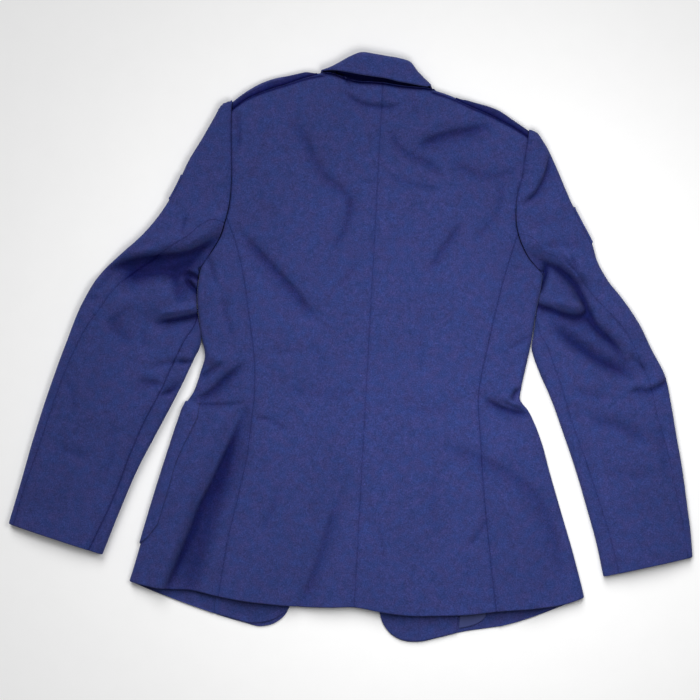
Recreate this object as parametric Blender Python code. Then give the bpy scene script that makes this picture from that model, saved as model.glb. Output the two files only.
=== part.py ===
"""A women's military service-dress tunic, laid face down on a flat surface with its back up.

Every place is given in the garment's own plan, in millimetres: x runs to the right from the
centre-back seam, and down runs from the back neck towards the hem. Each cut piece is a wall of
cloth. Its outer face lies either on the upper layer (the back) or on the lower layer (the fronts,
on the surface), or runs round a fold edge from the one to the other.
"""

import bpy
import numpy as np

MM = 0.001                       # metres in a millimetre
ORIGIN_X = -9.255                # plan place of the model's origin
ORIGIN_DOWN = 333.795

CLOTH = 1.6                      # wall of wool cloth with its backing
SEAM_GAP = 0.3                   # between pieces that are sewn together
SLEEVE_SEAM_GAP = 0.5            # the same on a sleeve, whose seams cross the fold edges
LAY_GAP = 0.4                    # between a panel and what lies on it
ARMHOLE_GAP = 0.6                # between a sleeve head and the body
EDGE_ROUND = 6.0                 # how far in from a fold edge the cloth rounds over
PAD_RAMP = 24.0                  # run-out round a piece that lifts the layer over it
OVERLAP_RUN = 40.0               # where the left front starts to rise over the right one
OVERLAP_MARGIN = 15.0            # where that rise is complete
FULLNESS = 3.0                   # extra height of the middle of each layer
FULLNESS_RUN = 45.0              # distance from a fold edge to that height

BODY_ROWS = 25                   # sections down the body
HEAD_ROWS = 9                    # of these, sections above the princess seam
SLEEVE_ROWS = 22                 # sections down a sleeve
TOP_SLEEVE_COLUMNS = 19
UNDER_SLEEVE_COLUMNS = 10
HEAD_FADE = 2.0                  # how fast the sleeve's sections lose the armhole's bow
CORNER_FADE = 60.0               # and how much faster beside the underarm
UNDERARM_SPREAD = 70.0           # how far the sections swing out from the underarm
ROW_CROWDING = 1.25              # closer sections at the sleeve head
EDGE_ARC = 18.0                  # length of cloth round a fold edge
FORE_SEAM_START = -45.0          # forearm seam at the armhole, round the fold edge from it
EDGE_COLUMNS = 6                 # facets round a fold edge
SIDE_COLUMNS = 4                 # facets of a side panel's upper layer
HEAD_SHARE = 0.28                # share of the panels' length above the princess seam
SHOULDER_SHARE = 0.58            # share of the back's top edge that is shoulder
FRONT_COLUMNS = (0.0, 0.2, 0.38, 0.5, 0.58, 0.66, 0.74, 0.82, 0.91, 1.0)

BUTTON_RADIUS = 10.0
BUTTON_THICK = 2.1
BUTTON_SIDES = 16
CENTRE_FRONT = -25.0             # the fronts lie pulled a little to the left
BUTTONS_DOWN = (262.0, 348.0, 434.0)

BLUE = (0.036, 0.046, 0.165, 1.0)
LINING_BLUE = (0.075, 0.085, 0.21, 1.0)
METAL = (0.55, 0.56, 0.58, 1.0)


def table(names, *rows):
    """A table with named columns, each an array."""
    return dict(zip(names.split(), np.array(rows, float).T))


# Body sections: x of each fold edge and seam of the upper layer.
BODY = table(
    "down side_left princess_left princess_right side_right",
    (182, -228, -189, 182.3, 224),
    (215, -224, -175, 173.5, 221),
    (250, -221, -165, 165, 217),
    (272, -218, -160, 161, 213),
    (291, -219.5, -156.5, 157.5, 210.5),
    (311, -216, -153, 154, 208),
    (336, -211, -148, 150, 204.5),
    (356, -207.5, -145, 146.5, 201.5),
    (378, -211.5, -143, 144, 196),
    (392, -215, -142.5, 144, 198),
    (404, -219, -142, 144, 208),
    (420, -229, -143, 146, 217),
    (445, -237.5, -144.5, 149, 228),
    (480, -247, -147, 153, 239.5),
    (530, -260, -155, 159.5, 257),
    (590, -275, -166, 169, 278.5),
    (639, -287.5, -172, 177, 294.5),
    (655, -292.5, -174, 180, 299.5),
    (670, -297, -175, 181.5, 304),
)

# Front seams of the side panels, on the lower layer.
FRONT_SEAM = table(
    "down left right",
    (190, -181, 179),
    (250, -167, 164),
    (320, -152, 150),
    (380, -148, 143),
    (450, -152, 150),
    (530, -163, 164),
    (600, -173, 177),
    (690, -182, 190),
)

# Front edges: from the neck point down the roll line to the top button, then the cut-away.
FRONT_EDGE = table(
    "down left right",
    (-9, -80, 66),
    (110, -43, 12),
    (236, -8, -42),
    (340, -6, -44),
    (440, -9, -41),
    (560, -44, -6),
    (673, -81, 32),
)

# Armholes, as x and down from the shoulder point to the underarm.
ARMHOLE_LEFT = table(
    "x down",
    (-190.5, 39), (-190, 60), (-187.5, 100), (-185.5, 135), (-186, 158), (-189, 180),
    (-194.5, 201), (-203, 218.5), (-212, 234), (-220.5, 248),
)
ARMHOLE_RIGHT = table(
    "x down",
    (189, 54), (186, 82), (183.5, 108), (179, 128), (177.5, 150), (180, 174),
    (187, 194), (197, 209.5), (207.5, 220.5), (217.5, 230),
)
FRONT_ARMHOLE_LEFT = table(
    "x down",
    (-190.5, 39), (-185, 80), (-181, 120), (-181, 160), (-187, 195), (-199, 223), (-220.5, 248),
)
FRONT_ARMHOLE_RIGHT = table(
    "x down",
    (189, 54), (183, 90), (179, 122), (179, 152), (185, 180), (197, 206), (217.5, 230),
)

SHOULDER_LEFT = table(
    "x down", (-190.5, 39), (-174, 26), (-152, 14.5), (-121, 2.5), (-95, -6.5), (-80, -9)
)
SHOULDER_RIGHT = table("x down", (189, 54), (176, 46.5), (146, 31.5), (113, 19), (84, 7.5), (66, 3))
NECK_LEFT = table("x down", (-80, -9), (-66, -7), (-50, -4), (-34, -1.5), (-17, -2), (0, -2))
NECK_RIGHT = table("x down", (66, 3), (54, 3.5), (42, 3), (28, 2), (14, 0), (0, -2))

HEM = table(
    "x down",
    (-300, 647), (-289, 650), (-243, 657), (-209, 657), (-174, 663), (-125, 668), (-80, 670),
    (-30, 669), (0, 667), (32, 671), (66, 674), (109, 672), (150, 668), (181, 663),
    (237, 655), (271, 648), (293, 639), (300, 636),
)
FRONT_HEM_LEFT = table(
    "x down",
    (-291, 651.5), (-262, 661.5), (-236, 669.5), (-210, 677), (-184, 684), (-158, 690),
    (-131, 695.5), (-104, 690), (-90, 680.5), (-81, 668),
)
FRONT_HEM_RIGHT = table(
    "x down",
    (293, 639), (271, 648), (243, 660), (212, 673), (188, 681), (173, 685), (139, 692),
    (110, 701), (82, 708), (64, 707), (48, 699), (38, 687), (32, 671),
)

SLEEVE_LEFT = {
    "outer": table(
        "x down",
        (-191, 39), (-203, 41), (-213, 57), (-227, 82), (-243, 111), (-254, 139), (-270, 171),
        (-296, 207), (-320, 231), (-345, 257), (-368, 298), (-386, 350), (-404, 409),
        (-421, 473), (-435, 534), (-447, 585),
    ),
    "inner": table(
        "x down",
        (-221.5, 248), (-224, 262), (-223, 276), (-223, 291), (-220, 311), (-216.5, 330), (-217, 345),
        (-222, 365), (-232, 388), (-246, 420), (-266, 463), (-286, 507), (-304, 556), (-325, 618),
    ),
    "hind": table(
        "x down",
        (-189, 180), (-207, 184), (-226, 195), (-275, 233), (-322, 272), (-343, 302),
        (-365, 338), (-384, 385), (-400, 438), (-415, 492), (-427, 532), (-438, 578),
    ),
    "fore": table(
        "x down",
        (-224, 320), (-245, 363), (-260, 402), (-282, 450), (-294, 482), (-307, 523),
        (-320, 560), (-341, 610),
    ),
}
SLEEVE_RIGHT = {
    "outer": table(
        "x down",
        (189.6, 54), (197, 54), (210, 68), (223, 90), (234, 113), (248, 138), (263, 161),
        (277, 185), (286, 210), (299, 231), (320, 255), (343, 285), (361, 317), (382, 354),
        (390, 385), (399, 425), (409, 468), (418, 515), (424, 547), (428.5, 580),
    ),
    "inner": table(
        "x down",
        (218.6, 230), (221, 243), (219, 256), (216.5, 272), (213.5, 295), (212.5, 314), (214, 332),
        (220.5, 350), (236, 387), (255, 432), (273, 477), (290, 525), (305, 570), (316, 611),
    ),
    "hind": table(
        "x down",
        (182, 180), (212, 197), (243, 213), (271, 241), (300, 271), (332, 306), (353, 345),
        (369, 390), (386, 440), (400, 490), (412, 534), (421, 574),
    ),
    "fore": table(
        "x down",
        (215, 298), (226, 319), (239, 349), (253, 385), (270, 430), (284, 463), (297, 496),
        (310, 530), (321, 560), (334, 603),
    ),
}

# Height of the upper layer over the surface, near its fold edges.
LOFT = table(
    "down height",
    (-60, 13), (5, 13.6), (60, 15), (150, 15), (260, 14), (400, 12), (540, 11.2), (720, 10.2),
)

# Pieces under the lower layer lift it: the box that each takes and how far it lifts.
PADS = table(
    "x_low x_high down_low down_high rise",
    (-132, -8, -60, 242, 2.0),        # left lapel and collar end
    (-46, 118, -60, 246, 2.0),        # right lapel and collar end
    (-42, -8, 240, 505, 2.5),         # buttons
    (-300, -84, 386, 621, 2.0),       # left pocket
    (36, 240, 386, 612, 2.0),         # right pocket
    (-210, -78, -20, 100, 2.0),       # left strap
    (70, 215, 0, 125, 2.0),           # right strap
    (-290, -160, 80, 245, 2.0),       # left badge
    (175, 320, 90, 260, 2.0),         # right badge
)

# The largest folds of the upper layer: each runs from its start through its middle to its end.
FOLDS = table(
    "x_start down_start x_middle down_middle x_end down_end half_width height",
    (-162, 430, -196, 515, -232, 650, 13, -3.5),    # left skirt, trough
    (-182, 440, -214, 520, -250, 650, 13, 4.5),     # left skirt, ridge
    (-140, 500, -160, 570, -185, 665, 20, -2.0),    # left skirt, hollow beside it
    (-110, 480, -118, 570, -140, 668, 18, 2.0),     # left back flare
    (-30, 510, -50, 580, -66, 668, 18, -1.8),       # centre-left flare
    (30, 540, 34, 600, 40, 672, 18, 1.8),           # centre-right flare
    (135, 560, 139, 610, 143, 668, 16, 2.0),        # right back flare
    (200, 480, 235, 540, 262, 645, 16, -2.2),       # right skirt trough
    (176, 470, 205, 540, 225, 655, 16, 2.4),        # right skirt ridge
    (-222, 410, -194, 396, -160, 372, 11, -2.5),    # left waist
    (204, 405, 180, 402, 150, 390, 11, -2.8),       # right waist
    (-166, 199, -112, 252, -58, 313, 16, -1.8),     # across the left shoulder blade
    (46, 72, 96, 52, 150, 42, 13, -1.8),            # below the right shoulder
    (-122, 43, -76, 94, -43, 150, 14, -1.4),        # below the left shoulder
    (-198, 204, -262, 232, -342, 257, 12, -4.0),    # left elbow trough
    (-202, 186, -240, 208, -300, 232, 12, 4.0),     # ridge above it
    (-224, 308, -245, 312, -285, 318, 11, -2.5),    # left lower elbow
    (-240, 285, -270, 290, -320, 300, 14, 2.5),     # ridge above it
    (194, 205, 226, 217, 268, 246, 12, -4.5),       # right elbow trough
    (266, 244, 298, 296, 350, 348, 12, -4.5),       # its run down the sleeve
    (204, 192, 240, 204, 280, 232, 12, 3.5),        # ridge above it
    (222, 270, 258, 284, 300, 300, 11, -3.0),       # right second trough
    (248, 304, 300, 330, 356, 358, 12, -2.5),       # right third trough
    (240, 240, 262, 262, 290, 300, 11, 3.0),        # ridge between them
    (275, 410, 320, 418, 376, 442, 12, -1.8),       # right forearm
)
FOLD_STEPS = 12
SLOPE_STEP = 0.5
PIN_POWER = 8                    # how soon a curve leaves the end place that it is eased onto
AROUND_STEP = 0.02
ALONG_STEP = 0.002

# Collar sections: the fall's free edge, the roll, the edge on the fronts, and the roll's height.
COLLAR = table(
    "free_x free_down roll_x roll_down under_x under_down height",
    (-75, -13.5, -80, -15, -106, 54, 15),
    (-66, -16, -69, -19.5, -86, 42, 16.5),
    (-52, -14, -56, -27, -68, 26, 18.5),
    (-40, -12.5, -44, -34.5, -58, -2, 19.5),
    (-28, -11, -30, -40.5, -38, -25, 20),
    (-12, -9.5, -13, -39.5, -14, -28, 20),
    (4, -8, 4, -37.5, 5, -27, 20),
    (20, -5, 20, -35.5, 20, -24, 19.5),
    (33, -3.5, 33, -32, 34, -10, 18.5),
    (44, -2, 44, -20, 46, 22, 17),
    (57, -0.5, 62, -4, 92, 62, 15),
)
COLLAR_ROWS = 16
COLLAR_ROUND = 7.0
COLLAR_ROUND_SHARE = 0.6         # most of the collar's width that the roll may take
STAND_DEPTH = 7.5                # height of the collar stand's outer face over the surface
STAND_DROP = 5.0                 # how far it drops from the neck seam
STAND_BEND = 0.35                # share of its width in that bend
STAND_SPAN = (0.14, 0.86)
STAND_CLEAR = 0.6
STAND_STOP = 3.8

LAPELS = table(
    "down left_roll left_edge right_roll right_edge",
    (66, -59, -112, 31, 82),
    (84, -53, -127, 23, 99),
    (130, -39, -104, 2, 72),
    (178, -26, -66, -18, 36),
    (214, -26, -40, -34, -2),
)
LAPEL_ROWS_LEFT = 4              # the left lapel ends under the right front

STRAP_LAP = 5.0                  # reach of a shoulder strap on the back
# Shoulder straps, by the share of the shoulder from the armhole: how far each reaches on the
# front, and how far it stands out from the shoulder, as it is only held at its ends.
STRAPS = {
    "left": table(
        "share drop bow",
        (0.03, 42, 5.5), (0.17, 42, 6.2), (0.37, 42, 9.4), (0.58, 42, 9.2), (0.7, 29, 7),
        (0.79, 20, 5.5), (0.89, 12, 4),
    ),
    "right": table(
        "share drop bow",
        (0.04, 42, 4.5), (0.2, 42, 6.2), (0.36, 42, 8.6), (0.56, 42, 5.5), (0.66, 32, 3.2),
        (0.73, 22, 1.5), (0.78, 12, 0.5),
    ),
}
STRAP_BOW_REACH = 22.0           # length of strap, from its edge on the back, that stands out
STRAP_FRONT = (0.5, 1.0)         # rows of the strap on the front, as shares of its reach
STRAP_ROWS = 9
BADGE_LAP = 5.0
BADGE_DROP = 52.0
BADGE_DOWN = {"left": (128.0, 160.0), "right": (142.0, 186.0)}
BADGE_CLOTH = 1.2
BADGE_GAP = 0.6

# The left pocket: its reach on the back, from the side fold, and its far edge on the front.
POCKET_LEFT = table(
    "down lap far",
    (417, 17, -96), (436, 22, -96), (459, 20, -97), (488, 16, -100), (514, 14, -104),
    (543, 15, -110), (580, 15, -120), (606, 15, -134),
)
# Its lines across: lapped 1 to 0 on the back, steps round the fold, then fronted 0 to 1.
POCKET_COLUMNS = table(
    "share lapped fold_step fronted",
    (0.0, 1, 0, 0), (0.025, 0.5, 0, 0), (0.05, 0, 0, 0), (0.06, 0, 1, 0), (0.08, 0, 2, 0),
    (0.09, 0, 3, 0), (0.11, 0, 4, 0), (0.13, 0, 5, 0), (0.14, 0, 6, 0), (0.3, 0, 6, 0.2),
    (0.5, 0, 6, 0.5), (0.8, 0, 6, 0.8), (0.9, 0, 6, 0.9), (1.0, 0, 6, 1),
)
POCKET_FOOT = table(
    "share down",
    (0, 574), (0.03, 586), (0.06, 594), (0.1, 600), (0.15, 603), (0.3, 604), (0.8, 604),
    (0.9, 600), (1, 586),
)
POCKET_TOP = 417.0
ROW_CLEAR = 0.05                 # least share of a row between the pocket's own rows
POCKET_RIGHT = table(
    "down near far",
    (417, 66, 204), (450, 65, 210), (500, 65, 211), (550, 65, 212), (572, 68, 209),
    (588, 76, 201), (599, 94, 183),
)
FACING_TOP = 655.0
FACING_INSET = 1.0
FACING_SIDE = {"left": -179.0, "right": 134.0}
LINING_FOOT = table("x down", (135, 688), (147, 685), (158, 680.5), (167, 673), (171, 663))


def smooth(at, xs, ys):
    """Value at each place of a smooth curve through the table's points."""
    xs = np.asarray(xs, float)
    ys = np.asarray(ys, float)
    steps = np.diff(xs)
    slopes = np.diff(ys) / steps
    inner = (slopes[:-1] * steps[1:] + slopes[1:] * steps[:-1]) / (steps[1:] + steps[:-1])
    tangents = np.concatenate([slopes[:1], inner, slopes[-1:]])
    k = np.clip(np.searchsorted(xs, at, side="right") - 1, 0, len(steps) - 1)
    t = (at - xs[k]) / steps[k]
    h = steps[k]
    return (
        (1 + 2 * t) * (1 - t) ** 2 * ys[k]
        + t * (1 - t) ** 2 * h * tangents[k]
        + t * t * (3 - 2 * t) * ys[k + 1]
        + t * t * (t - 1) * h * tangents[k + 1]
    )


def ease(t):
    """A soft step from 0 to 1."""
    t = np.clip(t, 0.0, 1.0)
    return t * t * (3 - 2 * t)


def curve(columns, first=0.0, last=1.0):
    """A curve through a table's x and down, as a function of the share along it."""
    xs = columns["x"]
    downs = columns["down"]
    runs = np.concatenate([[0.0], np.cumsum(np.hypot(np.diff(xs), np.diff(downs)))])
    runs = runs / runs[-1]

    def at(t):
        share = first + np.asarray(t, float) * (last - first)
        return np.stack([smooth(share, runs, xs), smooth(share, runs, downs)], -1)

    return at


def column_curve(columns, name, top, foot):
    """A seam given as x for each down, from one down to another, as a function of the share."""

    def at(t):
        down = top + np.asarray(t, float) * (foot - top)
        return np.stack([smooth(down, columns["down"], columns[name]), down], -1)

    return at


def joined(first, second, share):
    """Two curves end to end; the first takes the given share."""

    def at(t):
        t = np.asarray(t, float)
        early = first(np.clip(t / share, 0.0, 1.0))
        late = second(np.clip((t - share) / (1 - share), 0.0, 1.0))
        return np.where((t < share)[..., None], early, late)

    return at


def clear_of(base, gap):
    """A curve beside another one, a gap to its side."""

    def at(t):
        t = np.asarray(t, float)
        run = base(np.minimum(t + ALONG_STEP, 1.0)) - base(np.maximum(t - ALONG_STEP, 0.0))
        beside = np.stack([run[..., 1], -run[..., 0]], -1)
        return base(t) + gap * beside / np.linalg.norm(run, axis=-1, keepdims=True)

    return at


def hem_curve(columns, x_first, x_last):
    """The stretch of a hem between two places across."""
    order = np.argsort(columns["x"])
    xs = columns["x"][order]
    downs = columns["down"][order]

    def at(t):
        x = x_first + np.asarray(t, float) * (x_last - x_first)
        return np.stack([x, smooth(x, xs, downs)], -1)

    return at


def patch(left, right, top, foot):
    """Plan places between four curves, as a function of the shares across and along."""

    def at(across, along):
        s = np.asarray(across, float)[..., None]
        v = np.asarray(along, float)[..., None]
        sides = (1 - s) * left(along) + s * right(along)
        ends = (1 - v) * top(across) + v * foot(across)
        corners = (1 - v) * ((1 - s) * top(0.0) + s * top(1.0))
        corners = corners + v * ((1 - s) * foot(0.0) + s * foot(1.0))
        return sides + ends - corners

    return at


def line_distance(places, line):
    """Distance in plan from each place to a line of points."""
    start = line[:-1]
    run = line[1:] - start
    reach = places[..., None, :] - start
    share = np.clip((reach * run).sum(-1) / (run * run).sum(-1), 0.0, 1.0)
    return np.linalg.norm(reach - share[..., None] * run, axis=-1).min(-1)


def box_distance(places, k, pads):
    """Distance in plan from each place to a pad's box."""
    x = places[..., 0]
    down = places[..., 1]
    across = np.maximum(np.maximum(pads["x_low"][k] - x, x - pads["x_high"][k]), 0.0)
    along = np.maximum(np.maximum(pads["down_low"][k] - down, down - pads["down_high"][k]), 0.0)
    return np.hypot(across, along)


def floor_height(places):
    """Height of the lower layer's outer face over the surface."""
    height = np.zeros(places.shape[:-1])
    for k, rise in enumerate(PADS["rise"]):
        lift = rise * ease(1 - box_distance(places, k, PADS) / PAD_RAMP)
        height = np.maximum(height, lift)
    return height


def fold_height(places):
    """Height that the folds add to the upper layer."""
    height = np.zeros(places.shape[:-1])
    t = np.linspace(0, 1, FOLD_STEPS)[:, None]
    for k, rise in enumerate(FOLDS["height"]):
        ends = [
            np.array([FOLDS["x_" + name][k], FOLDS["down_" + name][k]])
            for name in ("start", "middle", "end")
        ]
        control = 2 * ends[1] - (ends[0] + ends[2]) / 2
        line = (1 - t) ** 2 * ends[0] + 2 * t * (1 - t) * control + t * t * ends[2]
        away = line_distance(places, line) / FOLDS["half_width"][k]
        height = height + rise * np.exp(-away * away)
    return height


def edge_distance(places, edges):
    """Distance in plan from each place to the nearest fold edge."""
    return np.min([line_distance(places, edge) for edge in edges], axis=0)


def heights(places, edges, upper, lift=None):
    """Height of the outer face at each place: upper says which layer, edges are its fold edges."""
    away = edge_distance(places, edges)
    low = floor_height(places)
    if lift:
        low = low + lift(places)
    high = smooth(places[..., 1], LOFT["down"], LOFT["height"])
    high = high + FULLNESS * ease(away / FULLNESS_RUN) + fold_height(places)
    middle = (low + high) / 2
    inward = 1 - np.clip(away / EDGE_ROUND, 0.0, 1.0)
    rounding = np.sqrt(1 - inward * inward)
    return np.where(upper, middle + (high - middle) * rounding, middle - (middle - low) * rounding)


def grid_normals(points, upper):
    """Unit normals of a grid of points, pointing out of the garment."""
    along = np.gradient(points, axis=0, edge_order=2)
    across = np.gradient(points, axis=1, edge_order=2)
    normals = np.cross(along, across)
    sense = np.where(upper, normals[..., 2], -normals[..., 2]).sum()
    return normals * np.sign(sense) / np.linalg.norm(normals, axis=-1, keepdims=True)


def to_model(places, z):
    """Model places, in millimetres, of plan places at heights."""
    return np.stack([places[..., 0] - ORIGIN_X, ORIGIN_DOWN - places[..., 1], z], -1)


def face(places, edges, upper, lift=None, section=None):
    """Points and outward unit normals of the outer face, in millimetres, x, y and z.

    A section is the function and the coordinates that the places come from; with it the normals
    round the fold edges do not depend on the grid.
    """
    z = heights(places, edges, upper, lift)
    points = to_model(places, z)
    round_normals = section_normals(section, edges, upper) if section else grid_normals(points, upper)
    slopes = [
        (heights(places + step, edges, upper, lift) - heights(places - step, edges, upper, lift))
        / (2 * SLOPE_STEP)
        for step in (np.array([SLOPE_STEP, 0.0]), np.array([0.0, SLOPE_STEP]))
    ]
    flat_normals = np.stack([-slopes[0], slopes[1], np.ones(z.shape)], -1)
    flat_normals = flat_normals * np.where(upper, 1.0, -1.0)[..., None]
    flat = edge_distance(places, edges) > EDGE_ROUND + SLOPE_STEP
    normals = np.where(flat[..., None], flat_normals, round_normals)
    return points, normals / np.linalg.norm(normals, axis=-1, keepdims=True)


def section_normals(section, edges, upper):
    """Unit normals at the given coordinates of a surface made of sections."""
    at, around, v = section

    def difference(step_around, step_v):
        ends = []
        for sign in (1, -1):
            places, on_upper = at(around + sign * step_around, v + sign * step_v)
            ends.append(to_model(places, heights(places, edges, on_upper)))
        return ends[0] - ends[1]

    normals = np.cross(difference(AROUND_STEP, 0.0), difference(0.0, ALONG_STEP))
    sense = np.where(upper, normals[..., 2], -normals[..., 2]).sum()
    return normals * np.sign(sense) / np.linalg.norm(normals, axis=-1, keepdims=True)


def turn(around, reach, start_reach=0.0):
    """Section coordinate to a share across and a layer.

    0 to 1 runs over the upper layer, 1 to 2 round the far fold edge, 2 to 3 back over the lower
    layer and 3 to 4, the same as -1 to 0, round the near fold edge. A reach is the rounding's
    share of the section's width.
    """
    around = np.mod(around, 4.0)
    leg = np.floor(around)
    part = around - leg
    flat = start_reach + part * (1 - reach - start_reach)
    back = 1 - reach - part * (1 - reach - start_reach)
    angle = np.pi / 2 * (1 - 2 * part)
    far = 1 - reach * (1 - np.cos(angle))
    near = start_reach * (1 - np.cos(angle))
    share = np.select([leg == 0, leg == 1, leg == 2], [flat, far, back], near)
    upper = np.select([leg == 0, leg == 1, leg == 2], [True, part < 0.5, False], part >= 0.5)
    return share, upper


def trimmed(points, gap, sides):
    """The grid with the named boundary lines moved in by a gap, square to themselves."""
    points = points.copy()
    lines = {
        "first_row": (np.s_[0], np.s_[1]),
        "last_row": (np.s_[-1], np.s_[-2]),
        "first_column": (np.s_[:, 0], np.s_[:, 1]),
        "last_column": (np.s_[:, -1], np.s_[:, -2]),
    }
    for side in sides.split():
        edge, inner = lines[side]
        step = points[inner] - points[edge]
        run = np.gradient(points[edge], axis=0)
        run = run / np.linalg.norm(run, axis=-1, keepdims=True)
        step = step - (step * run).sum(-1, keepdims=True) * run
        points[edge] += gap * step / np.linalg.norm(step, axis=-1, keepdims=True)
    return points


def material(name, colour, roughness, metallic=0.0):
    """A Principled material."""
    made = bpy.data.materials.new(name)
    made.use_nodes = True
    shader = made.node_tree.nodes["Principled BSDF"]
    shader.inputs["Base Color"].default_value = colour
    shader.inputs["Roughness"].default_value = roughness
    shader.inputs["Metallic"].default_value = metallic
    return made


def add_mesh(name, corners, faces, finish):
    """An object from corners in millimetres, its faces turned outwards."""
    corners = np.asarray(corners, float)
    volume = 0.0
    for ring in faces:
        for k in range(1, len(ring) - 1):
            a, b, c = corners[ring[0]], corners[ring[k]], corners[ring[k + 1]]
            volume += np.dot(a, np.cross(b, c))
    if volume < 0:
        faces = [ring[::-1] for ring in faces]
    mesh = bpy.data.meshes.new(name)
    mesh.from_pydata((corners * MM).tolist(), [], faces)
    mesh.materials.append(finish)
    mesh.shade_smooth()
    mesh.set_sharp_from_angle(angle=np.radians(40))
    made = bpy.data.objects.new(name, mesh)
    bpy.context.collection.objects.link(made)
    return made


def add_wall(name, points, normals, finish, outer=0.0, inner=-CLOTH):
    """A wall of cloth between two offsets from a grid of points."""
    rows, columns = points.shape[:2]
    corners = np.concatenate([
        (points + outer * normals).reshape(-1, 3),
        (points + inner * normals).reshape(-1, 3),
    ])
    count = rows * columns
    faces = []
    for i in range(rows - 1):
        for j in range(columns - 1):
            a = i * columns + j
            for ring in ([a, a + 1, a + columns + 1], [a, a + columns + 1, a + columns]):
                faces.append(ring)
                faces.append([count + k for k in reversed(ring)])
    rim = [j for j in range(columns)]
    rim += [i * columns + columns - 1 for i in range(1, rows)]
    rim += [(rows - 1) * columns + j for j in range(columns - 2, -1, -1)]
    rim += [i * columns for i in range(rows - 2, 0, -1)]
    for a, b in zip(rim, rim[1:] + rim[:1]):
        faces.append([b, a, count + a])
        faces.append([b, count + a, count + b])
    return add_mesh(name, corners, faces, finish)


def body_shares():
    """Shares down the body: close rows round the shoulder edge, one at the princess seam."""
    angles = np.linspace(np.pi / 2, 0, 4)[::-1]
    length = BODY["down"][-1]
    near = EDGE_ROUND * (1 - np.cos(angles)) / length
    head = np.linspace(near[-1], HEAD_SHARE, HEAD_ROWS - 2)[1:]
    skirt = np.linspace(HEAD_SHARE, 1, BODY_ROWS - HEAD_ROWS + 1)[1:]
    return np.concatenate([near, head, skirt])


def skirt_shares():
    """Shares down a side panel: the body's sections below the start of the princess seam."""
    rows = body_shares()
    return (rows[rows > HEAD_SHARE - 1e-6] - HEAD_SHARE) / (1 - HEAD_SHARE)


def body_half(side):
    """The plan patches and fold edges of the left or right half of the body."""
    left = side == "left"
    armhole = ARMHOLE_LEFT if left else ARMHOLE_RIGHT
    front_armhole = FRONT_ARMHOLE_LEFT if left else FRONT_ARMHOLE_RIGHT
    front_hem = FRONT_HEM_LEFT if left else FRONT_HEM_RIGHT
    shoulder = curve(SHOULDER_LEFT if left else SHOULDER_RIGHT)
    neck = curve(NECK_LEFT if left else NECK_RIGHT)

    def share_at(columns, down):
        xs, downs = columns["x"], columns["down"]
        runs = np.concatenate([[0.0], np.cumsum(np.hypot(np.diff(xs), np.diff(downs)))])
        return float(np.interp(down, downs, runs / runs[-1]))

    back_cut = share_at(armhole, 181.0)
    front_cut = share_at(front_armhole, 197.0)
    back_start = curve(armhole)(back_cut)
    front_start = curve(front_armhole)(front_cut)
    underarm = curve(armhole)(1.0)

    hem_x = {"left": (-174.0, -289.0), "right": (181.0, 293.0)}[side]
    hem = hem_curve(HEM, hem_x[0], hem_x[1])
    back_hem = hem_curve(HEM, hem_x[0], 0.0)
    princess = column_curve(BODY, "princess_" + side, back_start[1], hem(0.0)[1])
    princess = pinned(princess, back_start, hem(0.0))
    side_edge = column_curve(BODY, "side_" + side, underarm[1], hem(1.0)[1])
    side_edge = pinned(side_edge, underarm, hem(1.0))
    front_foot = hem_curve(front_hem, {"left": -181.0, "right": 188.0}[side], hem_x[1])
    seam = column_curve(FRONT_SEAM, side, front_start[1], front_foot(0.0)[1])
    seam = pinned(seam, front_start, front_foot(0.0))
    centre = table("x down", (0, neck(1.0)[1]), (0, 300), (0, 480), (0, hem_down(0.0)))
    edge_foot = curve(front_hem, *front_hem_span(side))
    edge = column_curve(FRONT_EDGE, side, FRONT_EDGE["down"][0], edge_foot(1.0)[1])
    edge = pinned(edge, shoulder(1.0), edge_foot(1.0))

    t = np.linspace(0, 1, 60)
    return {
        "back": patch(
            joined(curve(armhole, 0.0, back_cut), princess, HEAD_SHARE),
            curve(centre),
            joined(shoulder, neck, SHOULDER_SHARE),
            back_hem,
        ),
        "side_upper": patch(princess, side_edge, curve(armhole, back_cut, 1.0), hem),
        "side_lower": patch(seam, side_edge, curve(front_armhole, front_cut, 1.0), front_foot),
        "front": patch(
            joined(curve(front_armhole, 0.0, front_cut), seam, HEAD_SHARE),
            edge,
            shoulder,
            edge_foot,
        ),
        "edges": [shoulder(t), side_edge(skirt_shares())],
        "shoulder": shoulder,
        "side_edge": side_edge,
    }


def hem_down(x):
    """How far down the back hem is, at a place across."""
    return float(smooth(np.array(x), HEM["x"], HEM["down"]))


def front_hem_span(side):
    """Shares of the front hem's curve between the front seam and the front edge."""
    columns = FRONT_HEM_LEFT if side == "left" else FRONT_HEM_RIGHT
    runs = np.concatenate([[0.0], np.cumsum(np.hypot(np.diff(columns["x"]), np.diff(columns["down"])))])
    seam = {"left": 3, "right": 4}[side]
    return runs[seam] / runs[-1], 1.0


def pinned(base, first, last):
    """A curve eased onto two end places."""

    def at(t):
        t = np.asarray(t, float)
        from_first = (1 - t)[..., None] ** PIN_POWER * (first - base(0.0))
        from_last = t[..., None] ** PIN_POWER * (last - base(1.0))
        return base(t) + from_first + from_last

    return at


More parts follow.
